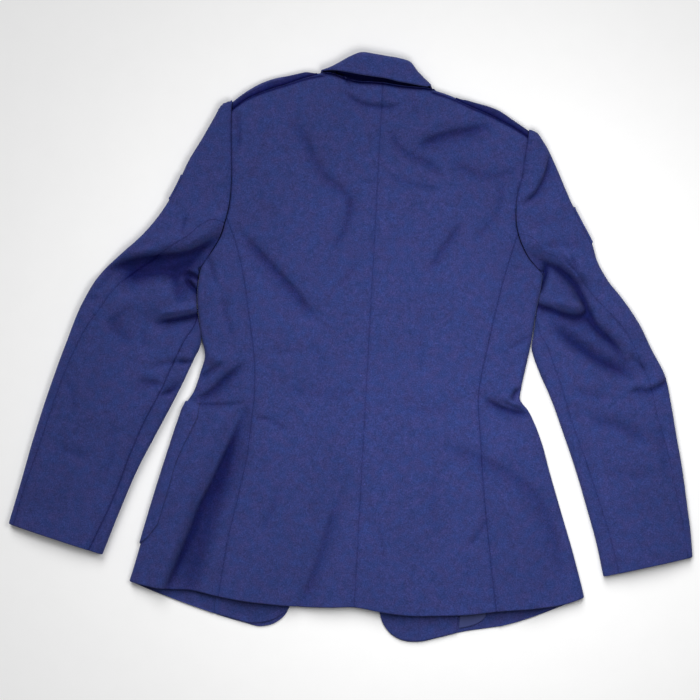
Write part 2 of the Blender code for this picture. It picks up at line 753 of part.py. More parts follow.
def add_body(side, cloth):
    """Back, side and front panels of one half; returns what the pieces laid on them need."""
    half = body_half(side)
    rows = body_shares()

    across = np.concatenate([
        np.linspace(0, SHOULDER_SHARE, 6),
        np.linspace(SHOULDER_SHARE, 1, 4)[1:],
    ])
    s, v = np.meshgrid(across, rows)
    points, normals = face(half["back"](s, v), half["edges"], np.ones(s.shape, bool))
    points = trimmed(points, SEAM_GAP / 2, "first_row first_column last_column")
    add_wall("back_" + side, points, normals, cloth)

    s, v = np.meshgrid(FRONT_COLUMNS, rows)
    lift = over_right_front if side == "left" else None
    points, normals = face(half["front"](s, v), half["edges"], np.zeros(s.shape, bool), lift)
    points = trimmed(points, SEAM_GAP / 2, "first_row first_column")
    add_wall("front_" + side, points, normals, cloth)

    columns = np.concatenate([
        np.linspace(0, 1, SIDE_COLUMNS + 1),
        np.linspace(1, 2, EDGE_COLUMNS + 1)[1:],
        np.linspace(2, 3, 4)[1:],
    ])
    places, upper = side_places(half, columns, skirt_shares())
    points, normals = face(places, half["edges"], upper)
    half["side_panel"] = (points, normals)
    points = trimmed(points, SEAM_GAP / 2, "first_row first_column last_column")
    add_wall("side_" + side, points, normals, cloth)
    return half


def side_places(half, columns, rows):
    """Plan places of a side panel's sections, from the princess seam to the front seam."""
    around, v = np.meshgrid(columns, rows)
    width = np.linalg.norm(half["side_upper"](1.0, v) - half["side_upper"](0.0, v), axis=-1)
    lower_width = np.linalg.norm(half["side_lower"](1.0, v) - half["side_lower"](0.0, v), axis=-1)
    share, upper = turn(around, EDGE_ROUND / np.where(around < 1.5, width, lower_width))
    on_upper = half["side_upper"](share, v)
    on_lower = half["side_lower"](share, v)
    return np.where(upper[..., None], on_upper, on_lower), upper


def over_right_front(places):
    """How far the left front is lifted where it lies over the right one."""
    past = places[..., 0] - smooth(places[..., 1], FRONT_EDGE["down"], FRONT_EDGE["right"])
    return (CLOTH + LAY_GAP) * ease((past + OVERLAP_RUN) / (OVERLAP_RUN - OVERLAP_MARGIN))


def edge_turn(arc):
    """Distance from a fold edge, and whether on the upper layer, for a length of cloth round it."""
    half = EDGE_ARC / 2
    angle = np.clip(arc / half, -1, 1) * np.pi / 2
    beyond = np.maximum(np.abs(arc) - half, 0.0)
    return EDGE_ROUND * (1 - np.cos(angle)) + beyond, arc > 0


def arc_coordinate(arc, width):
    """Section coordinate for a length of cloth from the middle of the far fold edge."""
    half = EDGE_ARC / 2
    flat = width - 2 * EDGE_ROUND
    over = 1 - (arc - half) / flat
    under = 2 - (arc + half) / flat
    return np.where(arc > half, over, np.where(arc < -half, under, 1.5 - arc / EDGE_ARC))


def locate(plan, places):
    """Shares across and along at which a patch reaches each place."""
    s, v = np.meshgrid(np.linspace(0, 1, 61), np.linspace(0, 1, 61))
    grid = plan(s, v)
    step = 1e-4
    found = []
    for place in places:
        nearest = np.linalg.norm(grid - place, axis=-1).argmin()
        at = np.array([s.flat[nearest], v.flat[nearest]])
        for _ in range(4):
            here = plan(at[0], at[1])
            slope_s = (plan(at[0] + step, at[1]) - here) / step
            slope_v = (plan(at[0], at[1] + step) - here) / step
            at = at + np.linalg.solve(np.stack([slope_s, slope_v], -1), place - here)
        found.append(at)
    return np.array(found).T


def columns_of(columns):
    """A table's x and down as places."""
    return np.stack([columns["x"], columns["down"]], -1)


def sleeve_patch(outer, inner, head, sense):
    """Plan places of a sleeve's layer: its sections start on the bowed armhole."""

    def at(across, along):
        s = np.asarray(across, float)[..., None]
        v = np.asarray(along, float)[..., None]
        bow = head(across) - (1 - s) * head(0.0) - s * head(1.0)
        rest = np.clip(1 - v, 0.0, 1.0)
        kept = rest ** (HEAD_FADE + CORNER_FADE * s ** 4)
        swing = UNDERARM_SPREAD * (1 - kept) * s * s * (1 - s) * rest ** 2
        return (1 - s) * outer(along) + s * inner(along) + bow * kept + swing * np.array([sense, 0.0])

    return at


def sleeve_form(side):
    """The plan patches, fold edges and seams of one sleeve."""
    left = side == "left"
    tables = SLEEVE_LEFT if left else SLEEVE_RIGHT
    clear = -ARMHOLE_GAP if left else ARMHOLE_GAP
    head = clear_of(curve(ARMHOLE_LEFT if left else ARMHOLE_RIGHT), clear)
    front_head = clear_of(curve(FRONT_ARMHOLE_LEFT if left else FRONT_ARMHOLE_RIGHT), clear)
    outer = pinned(curve(tables["outer"]), head(0.0), columns_of(tables["outer"])[-1])
    inner = pinned(curve(tables["inner"]), head(1.0), columns_of(tables["inner"])[-1])
    sense = -1.0 if left else 1.0
    upper = sleeve_patch(outer, inner, head, sense)
    lower = sleeve_patch(outer, inner, front_head, sense)

    def width(v):
        return np.linalg.norm(upper(1.0, v) - upper(0.0, v), axis=-1)

    hind_s, hind_v = locate(upper, columns_of(tables["hind"]))
    hind_v[0] = 0.0
    hind_v[-1] = 1.0
    fore_s, fore_v = locate(upper, columns_of(tables["fore"]))
    fore_v[-1] = 1.0
    arcs = EDGE_ARC / 2 + (1 - fore_s) * width(fore_v) - EDGE_ROUND
    arcs = np.concatenate([[FORE_SEAM_START], arcs])
    fore_v = np.concatenate([[0.0], fore_v])

    def hind(v):
        reach = EDGE_ROUND / width(v)
        return (smooth(v, hind_v, hind_s) - reach) / (1 - 2 * reach)

    def fore(v):
        return arc_coordinate(smooth(v, fore_v, arcs), width(v))

    def section(around, v):
        reach = EDGE_ROUND / width(v)
        share, on_upper = turn(around, reach, reach)
        places = np.where(on_upper[..., None], upper(share, v), lower(share, v))
        return places, on_upper

    t = np.linspace(0, 1, 80)
    return {"section": section, "hind": hind, "fore": fore, "outer": outer,
            "edges": [outer(t), inner(t)], "width": width}


def add_sleeve(side, cloth):
    """Top sleeve and under sleeve of one side, and the badge on it."""
    form = sleeve_form(side)
    rows = np.linspace(0, 1, SLEEVE_ROWS) ** ROW_CROWDING
    hind = form["hind"](rows)
    fore = form["fore"](rows)
    stretches = {
        "top_sleeve_": (hind, fore - 4.0, TOP_SLEEVE_COLUMNS),
        "under_sleeve_": (hind, fore, UNDER_SLEEVE_COLUMNS),
    }
    for name, (first, last, count) in stretches.items():
        share = np.linspace(0, 1, count)
        around = first[:, None] + (last - first)[:, None] * share
        v = np.repeat(rows[:, None], count, axis=1)
        places, upper = form["section"](around, v)
        points, normals = face(places, form["edges"], upper, section=(form["section"], around, v))
        points = trimmed(points, SLEEVE_SEAM_GAP / 2, "first_column last_column")
        add_wall(name + side, points, normals, cloth)

    t = np.linspace(0, 1, 200)
    span = np.interp(BADGE_DOWN[side], form["outer"](t)[:, 1], t)
    v = np.linspace(span[0], span[1], 4)
    arcs = np.concatenate([np.linspace(BADGE_LAP, -EDGE_ARC / 2, 9), (-25.0, -BADGE_DROP)])
    arc, v = np.meshgrid(arcs, v)
    around = 1.0 - arc_coordinate(arc, form["width"](v))
    places, upper = form["section"](around, v)
    points, normals = face(places, form["edges"], upper)
    add_wall("badge_" + side, points, normals, cloth, BADGE_GAP + BADGE_CLOTH, BADGE_GAP)


def add_strap(side, half, cloth):
    """A shoulder strap, wrapped over the shoulder edge, its end tapered beside the collar."""
    shape = STRAPS[side]
    t = np.linspace(shape["share"][0], shape["share"][-1], STRAP_ROWS)
    start = half["shoulder"](t)
    run = np.gradient(start, axis=0)
    across = np.stack([-run[:, 1], run[:, 0]], -1)
    across = across * np.sign(across[:, 1:]) / np.linalg.norm(across, axis=-1, keepdims=True)
    drop = smooth(t, shape["share"], shape["drop"])[:, None]
    wrap = np.tile(np.linspace(STRAP_LAP, -EDGE_ARC / 2, 8), (STRAP_ROWS, 1))
    front = -EDGE_ARC / 2 - (drop - EDGE_ARC / 2) * np.array(STRAP_FRONT)
    arc = np.concatenate([wrap, front], axis=1)
    away, upper = edge_turn(arc)
    places = start[:, None] + away[..., None] * across[:, None]
    points = face(places, half["edges"], upper)[0]
    out = np.sin(np.pi * np.clip((STRAP_LAP - arc) / STRAP_BOW_REACH, 0, 1))
    out = out * smooth(t, shape["share"], shape["bow"])[:, None]
    points[..., 0] -= out * across[:, None, 0]
    points[..., 1] += out * across[:, None, 1]
    normals = grid_normals(points, upper)
    add_wall("strap_" + side, points, normals, cloth, LAY_GAP + CLOTH, LAY_GAP)


def line_of(grid, column):
    """A line down a panel at a column, whole or between two."""
    first = min(int(column), grid.shape[1] - 2)
    return grid[:, first] + (grid[:, first + 1] - grid[:, first]) * (column - first)


def row_at(points, column, down):
    """The row, whole or between two, at which a panel's column reaches a place down."""
    return np.interp(down, ORIGIN_DOWN - line_of(points, column)[:, 1], np.arange(len(points)))


def on_panel(grid, column, row):
    """A panel's point or normal at a column and a row, whole or between two."""
    line = line_of(grid, column)
    return np.array([np.interp(row, np.arange(len(line)), line[:, k]) for k in range(3)])


def add_pockets(halves, cloth):
    """The patch pockets: the left one reaches round the side fold, the right one does not."""
    panel, panel_normals = halves["left"]["side_panel"]
    columns = POCKET_COLUMNS
    folds = SIDE_COLUMNS + columns["fold_step"]
    foot = smooth(columns["share"], POCKET_FOOT["share"], POCKET_FOOT["down"])
    tops = np.array([row_at(panel, fold, POCKET_TOP) for fold in folds])
    feet = np.array([row_at(panel, fold, down) for fold, down in zip(folds, foot)])
    whole = np.arange(np.ceil(tops.max() + ROW_CLEAR), feet.min() - ROW_CLEAR)
    below = whole[-1] + (feet - whole[-1]) * np.array([[0.5], [1.0]])
    rows = np.concatenate([tops[None], np.repeat(whole[:, None], len(folds), axis=1), below])
    points = np.empty(rows.shape + (3,))
    normals = np.empty(rows.shape + (3,))
    for i, k in np.ndindex(rows.shape):
        fold_place = on_panel(panel, SIDE_COLUMNS, rows[i, k])
        next_place = on_panel(panel, SIDE_COLUMNS - 1, rows[i, k])
        down = ORIGIN_DOWN - fold_place[1]
        lap = smooth(down, POCKET_LEFT["down"], POCKET_LEFT["lap"]) - EDGE_ROUND
        far = smooth(down, POCKET_LEFT["down"], POCKET_LEFT["far"]) - ORIGIN_X
        column = folds[k] - columns["lapped"][k] * lap / (next_place[0] - fold_place[0])
        points[i, k] = on_panel(panel, column, rows[i, k])
        normals[i, k] = on_panel(panel_normals, column, rows[i, k])
        points[i, k, 0] += (far - points[i, k, 0]) * columns["fronted"][k]
    normals = normals / np.linalg.norm(normals, axis=-1, keepdims=True)
    add_wall("pocket_left", points, normals, cloth, LAY_GAP + CLOTH, LAY_GAP)

    share = np.linspace(0, 1, 6)
    near = POCKET_RIGHT["near"][:, None]
    x = near + (POCKET_RIGHT["far"][:, None] - near) * share
    down = np.repeat(POCKET_RIGHT["down"][:, None], len(share), axis=1)
    upper = np.zeros(x.shape, bool)
    points, normals = face(np.stack([x, down], -1), halves["right"]["edges"], upper)
    add_wall("pocket_right", points, normals, cloth, LAY_GAP + CLOTH, LAY_GAP)


def add_lapel(side, half, cloth):
    """A lapel, folded back along the roll line on the outside of its front."""
    count = LAPEL_ROWS_LEFT if side == "left" else len(LAPELS["down"])
    roll = LAPELS[side + "_roll"][:count, None]
    x = roll + (LAPELS[side + "_edge"][:count, None] - roll) * np.linspace(0, 1, 4)
    down = np.repeat(LAPELS["down"][:count, None], 4, axis=1)
    upper = np.zeros(x.shape, bool)
    points, normals = face(np.stack([x, down], -1), half["edges"], upper)
    add_wall("lapel_" + side, points, normals, cloth, LAY_GAP + CLOTH, LAY_GAP)


def add_facing(side, half, cloth, lining):
    """The strip of a front's facing that shows below the back hem, and the lining beside it."""
    left = side == "left"
    columns = FRONT_HEM_LEFT if left else FRONT_HEM_RIGHT
    side_x = FACING_SIDE[side]
    edge_x = float(smooth(np.array(FACING_TOP), FRONT_EDGE["down"], FRONT_EDGE[side]))
    t = np.linspace(0, 1, 400)
    hem = curve(columns)
    start = np.abs(hem(t)[:, 0] - side_x).argmin() / (len(t) - 1)
    foot = curve(columns, start, 1.0)
    near = straight((side_x, FACING_TOP), foot(0.0))
    far = straight((edge_x, FACING_TOP), foot(1.0))
    plan = patch(near, far, straight((side_x, FACING_TOP), (edge_x, FACING_TOP)), foot)
    s, v = np.meshgrid(np.linspace(0, 1, 9), np.linspace(0, 1, 4))
    lay_inside("facing_" + side, plan(s, v), half, cloth)
    if not left:
        beside = side_x + 2 * FACING_INSET
        foot = curve(LINING_FOOT)
        near = straight((beside, FACING_TOP), foot(0.0))
        far = straight((foot(1.0)[0] + 2, FACING_TOP), foot(1.0))
        plan = patch(near, far, straight(near(0.0), far(0.0)), foot)
        s, v = np.meshgrid(np.linspace(0, 1, 5), np.linspace(0, 1, 4))
        lay_inside("lining_right", plan(s, v), half, lining)


def straight(first, last):
    """A straight line between two places."""
    first = np.asarray(first, float)
    last = np.asarray(last, float)
    return lambda t: first + np.asarray(t, float)[..., None] * (last - first)


def lay_inside(name, places, half, finish):
    """A piece of cloth on the inner face of a front."""
    points, normals = face(places, half["edges"], np.zeros(places.shape[:-1], bool))
    points = trimmed(points, FACING_INSET, "first_column last_column last_row")
    add_wall(name, points, normals, finish, -CLOTH - LAY_GAP, -2 * CLOTH - LAY_GAP)


def collar_line(name):
    """One of the collar's lines, as a function of the share along its roll."""
    runs = np.hypot(np.diff(COLLAR["roll_x"]), np.diff(COLLAR["roll_down"]))
    shares = np.concatenate([[0.0], np.cumsum(runs)]) / runs.sum()

    def at(t):
        return np.stack([smooth(t, shares, COLLAR[name + axis]) for axis in ("_x", "_down")], -1)

    return at, shares


def add_collar(cloth):
    """The collar: the fall on the back, the roll and the ends on the fronts; and its stand."""
    free, shares = collar_line("free")
    roll = collar_line("roll")[0]
    under = collar_line("under")[0]
    columns = np.concatenate([
        np.linspace(0, 1, 4),
        np.linspace(1, 2, EDGE_COLUMNS + 3)[1:],
        np.linspace(2, 3, 4)[1:],
    ])
    around, v = np.meshgrid(columns, np.linspace(0, 1, COLLAR_ROWS))
    widths = [np.linalg.norm(roll(v) - other(v), axis=-1) for other in (free, under)]
    reach = np.where(around < 1.5, COLLAR_ROUND / widths[0], COLLAR_ROUND / widths[1])
    share, upper = turn(around, np.minimum(reach, COLLAR_ROUND_SHARE))
    inner = np.where(upper[..., None], free(v), under(v))
    places = inner + share[..., None] * (roll(v) - inner)
    high = smooth(v, shares, COLLAR["height"])
    angle = np.clip(1.5 - around, -0.5, 0.5) * np.pi
    z = high / 2 * (1 + np.sin(angle))
    points = to_model(places, z)
    add_wall("collar", points, grid_normals(points, upper), cloth)

    neck = joined(curve(NECK_LEFT), backwards(curve(NECK_RIGHT)), 0.5)
    s, v = np.meshgrid(np.linspace(*STAND_SPAN, 9), np.linspace(0, 1, 7))
    start = neck(s) - np.array([0.0, STAND_CLEAR])
    end = roll(s) + (under(s) - roll(s)) * (STAND_STOP / widths_at(roll, under, s))[..., None]
    places = start + v[..., None] * (end - start)
    z = STAND_DEPTH + STAND_DROP * (1 - ease(v / STAND_BEND))
    points = to_model(places, z)
    add_wall("collar_stand", points, grid_normals(points, np.ones(z.shape, bool)), cloth)


def widths_at(first, second, share):
    """Distance between two curves at a share along both."""
    return np.linalg.norm(first(share) - second(share), axis=-1)


def backwards(base):
    """A curve run from its end to its start."""
    return lambda t: base(1 - np.asarray(t, float))


def add_button(number, down, metal):
    """A plain domed front button, face down."""
    sides = BUTTON_SIDES
    rings = table("radius z", (0.55, 0.1), (0.86, 0.35), (1.0, 0.9), (1.0, 1.4), (0.9, BUTTON_THICK))
    turns = np.arange(sides) * 2 * np.pi / sides
    corners = []
    for radius, z in zip(rings["radius"] * BUTTON_RADIUS, rings["z"]):
        for a in turns:
            x = CENTRE_FRONT - ORIGIN_X + radius * np.cos(a)
            corners.append((x, ORIGIN_DOWN - down + radius * np.sin(a), z))
    faces = [list(range(sides))[::-1]]
    for k in range(len(rings["z"]) - 1):
        for j in range(sides):
            nxt = (j + 1) % sides
            faces.append([k * sides + j, k * sides + nxt, (k + 1) * sides + nxt, (k + 1) * sides + j])
    last = (len(rings["z"]) - 1) * sides
    faces.append([last + j for j in range(sides)])
    add_mesh("button_%d" % number, corners, faces, metal)


def clear_scene():
    """Removes whatever the scene holds."""
    for old in list(bpy.data.objects):
        bpy.data.objects.remove(old, do_unlink=True)


def main():
    clear_scene()
    cloth = material("wool", BLUE, 0.85)
    lining = material("lining", LINING_BLUE, 0.45)
    metal = material("metal", METAL, 0.35, 1.0)
    halves = {}
    for side in ("left", "right"):
        halves[side] = add_body(side, cloth)
        add_sleeve(side, cloth)
        add_strap(side, halves[side], cloth)
        add_lapel(side, halves[side], cloth)
        add_facing(side, halves[side], cloth, lining)
    add_pockets(halves, cloth)
    add_collar(cloth)
    for k, down in enumerate(BUTTONS_DOWN):
        add_button(k + 1, down, metal)


main()
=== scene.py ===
"""Looks of the dress tunic: each cut piece again, as a fine closed shell of cloth with its folds,
seams, pressed edges and weave.

Every place is given in the garment's own plan, in millimetres, as in the solids' source: x runs to
the right from the centre-back seam, and down runs from the back neck towards the hem. The tables
down to LINING_FOOT follow the solids' own sizes to within about 3 mm, and what comes after them is
only looks.
"""

import bpy
import numpy as np
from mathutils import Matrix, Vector


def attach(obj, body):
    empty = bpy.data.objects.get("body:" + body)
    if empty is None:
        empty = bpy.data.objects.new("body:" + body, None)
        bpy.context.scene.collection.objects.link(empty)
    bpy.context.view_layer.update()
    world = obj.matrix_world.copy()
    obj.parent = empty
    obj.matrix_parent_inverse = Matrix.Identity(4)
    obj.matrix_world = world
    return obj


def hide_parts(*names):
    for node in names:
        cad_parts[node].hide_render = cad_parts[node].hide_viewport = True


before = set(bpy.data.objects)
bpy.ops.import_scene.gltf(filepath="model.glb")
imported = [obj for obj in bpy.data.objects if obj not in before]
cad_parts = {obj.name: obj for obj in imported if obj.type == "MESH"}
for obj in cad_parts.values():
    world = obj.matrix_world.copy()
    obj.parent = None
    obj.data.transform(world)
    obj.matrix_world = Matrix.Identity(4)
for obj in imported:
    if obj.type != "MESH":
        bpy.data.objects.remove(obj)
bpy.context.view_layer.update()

MM = 0.001                       # metres in a millimetre
ORIGIN_X = -9.255                # plan place of the model's origin
ORIGIN_DOWN = 333.795

CLOTH = 1.6                      # the solids' wall of cloth
LAY_GAP = 0.4                    # between a panel and what lies on it
ARMHOLE_GAP = 0.6                # between a sleeve head and the body
EDGE_ROUND = 6.0                 # how far in from a fold edge the cloth rounds over
PAD_RAMP = 24.0                  # run-out round a piece that lifts the layer over it
OVERLAP_RUN = 40.0               # where the left front starts to rise over the right one
OVERLAP_MARGIN = 15.0            # where that rise is complete
FULLNESS = 3.0                   # extra height of the middle of each layer
FULLNESS_RUN = 45.0              # distance from a fold edge to that height
HEAD_FADE = 2.0                  # how fast the sleeve's sections lose the armhole's bow
CORNER_FADE = 60.0               # and how much faster beside the underarm
UNDERARM_SPREAD = 70.0           # how far the sections swing out from the underarm
EDGE_ARC = 18.0                  # length of cloth round a fold edge
WHOLE_TURN = 4.0                 # section coordinate of once round
FORE_SEAM_START = -45.0          # forearm seam at the armhole, round the fold edge from it
HEAD_SHARE = 0.28                # share of the panels' length above the princess seam
SHOULDER_SHARE = 0.58            # share of the back's top edge that is shoulder
BUTTON_RADIUS = 10.0
BUTTON_THICK = 2.1
BUTTON_SIDES = 64
BUTTON_BEAD = 0.012              # depth of the beads round its rim, as a share of its radius
CENTRE_FRONT = -25.0             # the fronts lie pulled a little to the left
BUTTONS_DOWN = (262.0, 348.0, 434.0)


def table(names, *rows):
    """A table with named columns, each an array."""
    return dict(zip(names.split(), np.array(rows, float).T))


def path(*places):
    """A line through places, as a table of x and down."""
    return table("x down", *places)


# Body sections: x of each fold edge and seam of the upper layer.
BODY = table(
    "down side_left princess_left princess_right side_right",
    (182, -228, -189, 182.3, 224),
    (215, -224, -175, 173.5, 221),
    (250, -221, -165, 165, 217),
    (272, -222.5, -160, 161, 213.3),
    (291, -221.7, -156.5, 157.5, 210.7),
    (311, -218.5, -153, 154, 208.6),
    (336, -213.3, -148, 150, 204.7),
    (356, -208.2, -145, 146.5, 201.2),
    (378, -212.5, -143, 144, 197.8),
    (392, -216, -142.5, 144, 197.5),
    (404, -220, -142, 144, 208),
    (420, -229.5, -143, 146, 217),
    (445, -237.5, -144.5, 149, 228),
    (480, -247, -147, 153, 239.5),
    (530, -260, -155, 159.5, 257),
    (590, -275, -166, 169, 278.5),
    (639, -287.5, -172, 177, 294.5),
    (655, -292.5, -174, 180, 299.5),
    (670, -297, -175, 181.5, 304),
)

# Front seams of the side panels, on the lower layer.
FRONT_SEAM = table(
    "down left right",
    (190, -181, 179),
    (250, -167, 164),
    (320, -152, 150),
    (380, -148, 143),
    (450, -152, 150),
    (530, -163, 164),
    (600, -173, 177),
    (690, -182, 190),
)

# Front edges: from the neck point down the roll line to the top button, then the cut-away.
FRONT_EDGE = table(
    "down left right",
    (-9, -80, 66),
    (110, -43, 12),
    (236, -8, -42),
    (340, -6, -44),
    (440, -9, -41),
    (560, -44, -6),
    (673, -81, 32),
)

# Armholes, from the shoulder point to the underarm.
ARMHOLE = {
    "left": path(
        (-190.5, 39), (-190, 60), (-187.5, 100), (-185.5, 135), (-186, 158), (-189, 180),
        (-194.5, 201), (-203, 218.5), (-212, 234), (-220.5, 248),
    ),
    "right": path(
        (189, 54), (186, 82), (183.5, 108), (179, 128), (177.5, 150), (180, 174),
        (187, 194), (197, 209.5), (207.5, 220.5), (217.5, 230),
    ),
}
FRONT_ARMHOLE = {
    "left": path(
        (-190.5, 39), (-185, 80), (-181, 120), (-181, 160), (-187, 195), (-199, 223), (-220.5, 248)
    ),
    "right": path((189, 54), (183, 90), (179, 122), (179, 152), (185, 180), (197, 206), (217.5, 230)),
}
SHOULDER = {
    "left": path((-190.5, 39), (-174, 26), (-152, 14.5), (-121, 2.5), (-95, -7.5), (-80, -11.5)),
    "right": path((189, 54), (176, 46.5), (146, 31.5), (113, 19), (84, 7.5), (66, 2.5)),
}
NECK = {
    "left": path((-80, -11.5), (-68, -11.5), (-50, -6.5), (-34, -2.5), (-17, -2.4), (0, -2.4)),
    "right": path((66, 2.5), (54, 1), (42, 1), (28, 0.6), (14, -0.6), (0, -2.4)),
}

# Hems: the back's, and each front's from the side fold to the front edge.
HEM = path(
    (-300, 647), (-289, 650), (-243, 657), (-209, 657), (-174, 663), (-125, 668), (-80, 670),
    (-30, 669), (0, 667), (32, 671), (66, 674), (109, 672), (150, 668), (181, 663),
    (237, 655), (271, 648), (293, 639), (300, 636),
)
FRONT_HEM = {
    "left": path(
        (-291, 651.5), (-262, 661.5), (-236, 669.5), (-210, 677), (-184, 684), (-158, 690),
        (-131, 695.5), (-104, 690), (-90, 680.5), (-81, 668),
    ),
    "right": path(
        (293, 639.5), (271, 649.5), (243, 662), (212, 674.5), (188, 682), (173, 685), (139, 692),
        (110, 701), (82, 708), (64, 707), (48, 699), (38, 687), (32, 671),
    ),
}
FRONT_HEM_SEAM = {"left": 3, "right": 4}        # the row at which the front seam ends
# Where the side panels' seams meet the hems, from the back seam to the side fold.
HEM_ENDS = {"left": (-174.0, -289.0), "right": (181.0, 293.0)}
FRONT_SEAM_FOOT = {"left": -181.0, "right": 188.0}
BACK_SEAM_TOP = 181.0            # down on the armhole
FRONT_SEAM_TOP = 197.0
CENTRE_SEAM_DOWN = (300.0, 480.0)

# Sleeves: their fold edges, and the two seams as they show on the upper side.
SLEEVE = {}
SLEEVE["left"] = {
    "outer": path(
        (-191.1, 30.5), (-203, 36), (-213.3, 54), (-227, 81), (-243, 111), (-254, 139), (-270, 171),
        (-296, 207), (-320, 231), (-345, 257), (-368, 298), (-386, 350), (-404, 409),
        (-421, 473), (-435, 534), (-447, 585),
    ),
    "inner": path(
        (-221.5, 248), (-222.6, 262), (-223, 276), (-222.2, 291), (-219, 311), (-214.2, 331),
        (-214.6, 344), (-223, 365), (-232, 388), (-246, 420), (-266, 463), (-286, 507),
        (-304, 556), (-325, 618),
    ),
    "hind": path(
        (-189, 180), (-207, 184), (-226, 195), (-275, 233), (-322, 272), (-343, 302),
        (-365, 338), (-384, 385), (-400, 438), (-415, 492), (-427, 532), (-438, 578),
    ),
    "fore": path(
        (-224, 320), (-245, 363), (-260, 402), (-282, 450), (-294, 482), (-307, 523),
        (-320, 560), (-341, 610),
    ),
}
SLEEVE["right"] = {
    "outer": path(
        (189.7, 46.8), (198.6, 50), (208.5, 60.5), (225.8, 90), (237, 113), (249.5, 138), (263, 161),
        (277, 185), (286, 210), (299, 231), (320, 255), (343, 285), (361, 317), (382, 354),
        (390, 385), (399, 425), (409, 468), (418, 515), (424, 547), (428.5, 580),
    ),
    "inner": path(
        (218.2, 230), (216.9, 243), (215, 256), (212.8, 272), (210.7, 291), (209.1, 311), (208.1, 324),
        (212, 337), (218.5, 352), (236, 387), (255, 432), (273, 477), (290, 525), (305, 570), (316, 611),
    ),
    "hind": path(
        (182, 180), (212, 197), (243, 213), (271, 241), (300, 271), (332, 306), (353, 345),
        (369, 390), (386, 440), (400, 490), (412, 534), (421, 574),
    ),
    "fore": path(
        (215, 298), (226, 319), (239, 349), (253, 385), (270, 430), (284, 463), (297, 496),
        (310, 530), (321, 560), (334, 603),
    ),
}

# Height of the upper layer over the surface, near its fold edges.
LOFT = table(
    "down height",
    (-60, 13), (5, 13.6), (60, 15), (150, 15), (260, 14), (400, 12), (540, 11.2), (720, 10.2),
)

# Pieces under the lower layer lift it: the box that each takes and how far it lifts.
PADS = table(
    "x_low x_high down_low down_high rise",
    (-132, -8, -60, 242, 2.0),        # left lapel and collar end
    (-46, 118, -60, 246, 2.0),        # right lapel and collar end
    (-42, -8, 240, 505, 2.5),         # buttons
    (-300, -84, 386, 621, 2.0),       # left pocket
    (36, 240, 386, 612, 2.0),         # right pocket
    (-210, -78, -20, 100, 2.0),       # left strap
    (70, 215, 0, 125, 2.0),           # right strap
    (-290, -160, 80, 245, 2.0),       # left badge
    (175, 320, 90, 260, 2.0),         # right badge
)

# The largest folds of the upper layer: each runs from its start through its middle to its end.
FOLDS = table(
    "x_start down_start x_middle down_middle x_end down_end half_width height",
    (-162, 430, -196, 515, -232, 650, 13, -3.5),    # left skirt, trough
    (-182, 440, -214, 520, -250, 650, 13, 4.5),     # left skirt, ridge
    (-140, 500, -160, 570, -185, 665, 20, -2.0),    # left skirt, hollow beside it
    (-110, 480, -118, 570, -140, 668, 18, 2.0),     # left back flare
    (-30, 510, -50, 580, -66, 668, 18, -1.8),       # centre-left flare
    (30, 540, 34, 600, 40, 672, 18, 1.8),           # centre-right flare
    (135, 560, 139, 610, 143, 668, 16, 2.0),        # right back flare
    (200, 480, 235, 540, 262, 645, 16, -2.2),       # right skirt trough
    (176, 470, 205, 540, 225, 655, 16, 2.4),        # right skirt ridge
    (-222, 410, -194, 396, -160, 372, 11, -2.5),    # left waist
    (204, 405, 180, 402, 150, 390, 11, -2.8),       # right waist
    (-166, 199, -112, 252, -58, 313, 16, -1.8),     # across the left shoulder blade
    (46, 72, 96, 52, 150, 42, 13, -1.8),            # below the right shoulder
    (-122, 43, -76, 94, -43, 150, 14, -1.4),        # below the left shoulder
    (-198, 204, -262, 232, -342, 257, 12, -4.0),    # left elbow trough
    (-202, 186, -240, 208, -300, 232, 12, 4.0),     # ridge above it
    (-224, 308, -245, 312, -285, 318, 11, -2.5),    # left lower elbow
    (-240, 285, -270, 290, -320, 300, 14, 2.5),     # ridge above it
    (194, 205, 226, 217, 268, 246, 12, -4.5),       # right elbow trough
    (266, 244, 298, 296, 350, 348, 12, -4.5),       # its run down the sleeve
    (204, 192, 240, 204, 280, 232, 12, 3.5),        # ridge above it
    (222, 270, 258, 284, 300, 300, 11, -3.0),       # right second trough
    (248, 304, 300, 330, 356, 358, 12, -2.5),       # right third trough
    (240, 240, 262, 262, 290, 300, 11, 3.0),        # ridge between them
    (275, 410, 320, 418, 376, 442, 12, -1.8),       # right forearm
)
FOLD_STEPS = 12
ALONG_STEP = 0.002               # share of a line over which its direction is taken

# Numbers of places at which lines are measured.
BODY_EDGE_PLACES = 60
SLEEVE_EDGE_PLACES = 80
LINE_PLACES = 400
BADGE_PLACES = 200
FOOT_PLACES = 60
HEAD_PLACES = 120
LOCATE_PLACES = 61               # a place in a patch is found on a grid, then by Newton's rule
LOCATE_ROUNDS = 4
LOCATE_STEP = 1e-4

# Collar sections: the fall's free edge, the roll, the edge on the fronts, and the roll's height.
COLLAR = table(
    "free_x free_down roll_x roll_down under_x under_down height",
    (-75, -13.5, -80, -15, -106, 54, 15),
    (-66, -14.8, -69, -19.5, -86, 42, 16.5),
    (-52, -14, -56, -27, -68, 26, 18.5),
    (-40, -12.5, -44, -34.5, -58, -2, 19.5),
    (-28, -11, -30, -40.5, -38, -25, 20),
    (-12, -9.5, -13, -39.5, -14, -28, 20),
    (4, -8, 4, -37.5, 5, -27, 20),
    (20, -5, 20, -35.5, 20, -24, 19.5),
    (33, -3.5, 33, -32, 34, -10, 18.5),
    (44, -2, 44, -20, 46, 22, 17),
    (57, -0.5, 62, -4, 92, 62, 15),
)
PIN_POWER = 8
COLLAR_ROUND = 7.0
COLLAR_ROUND_SHARE = 0.6
COLLAR_COLUMNS = (14, 17, 16)    # mesh lines of the fall, round the roll and under it
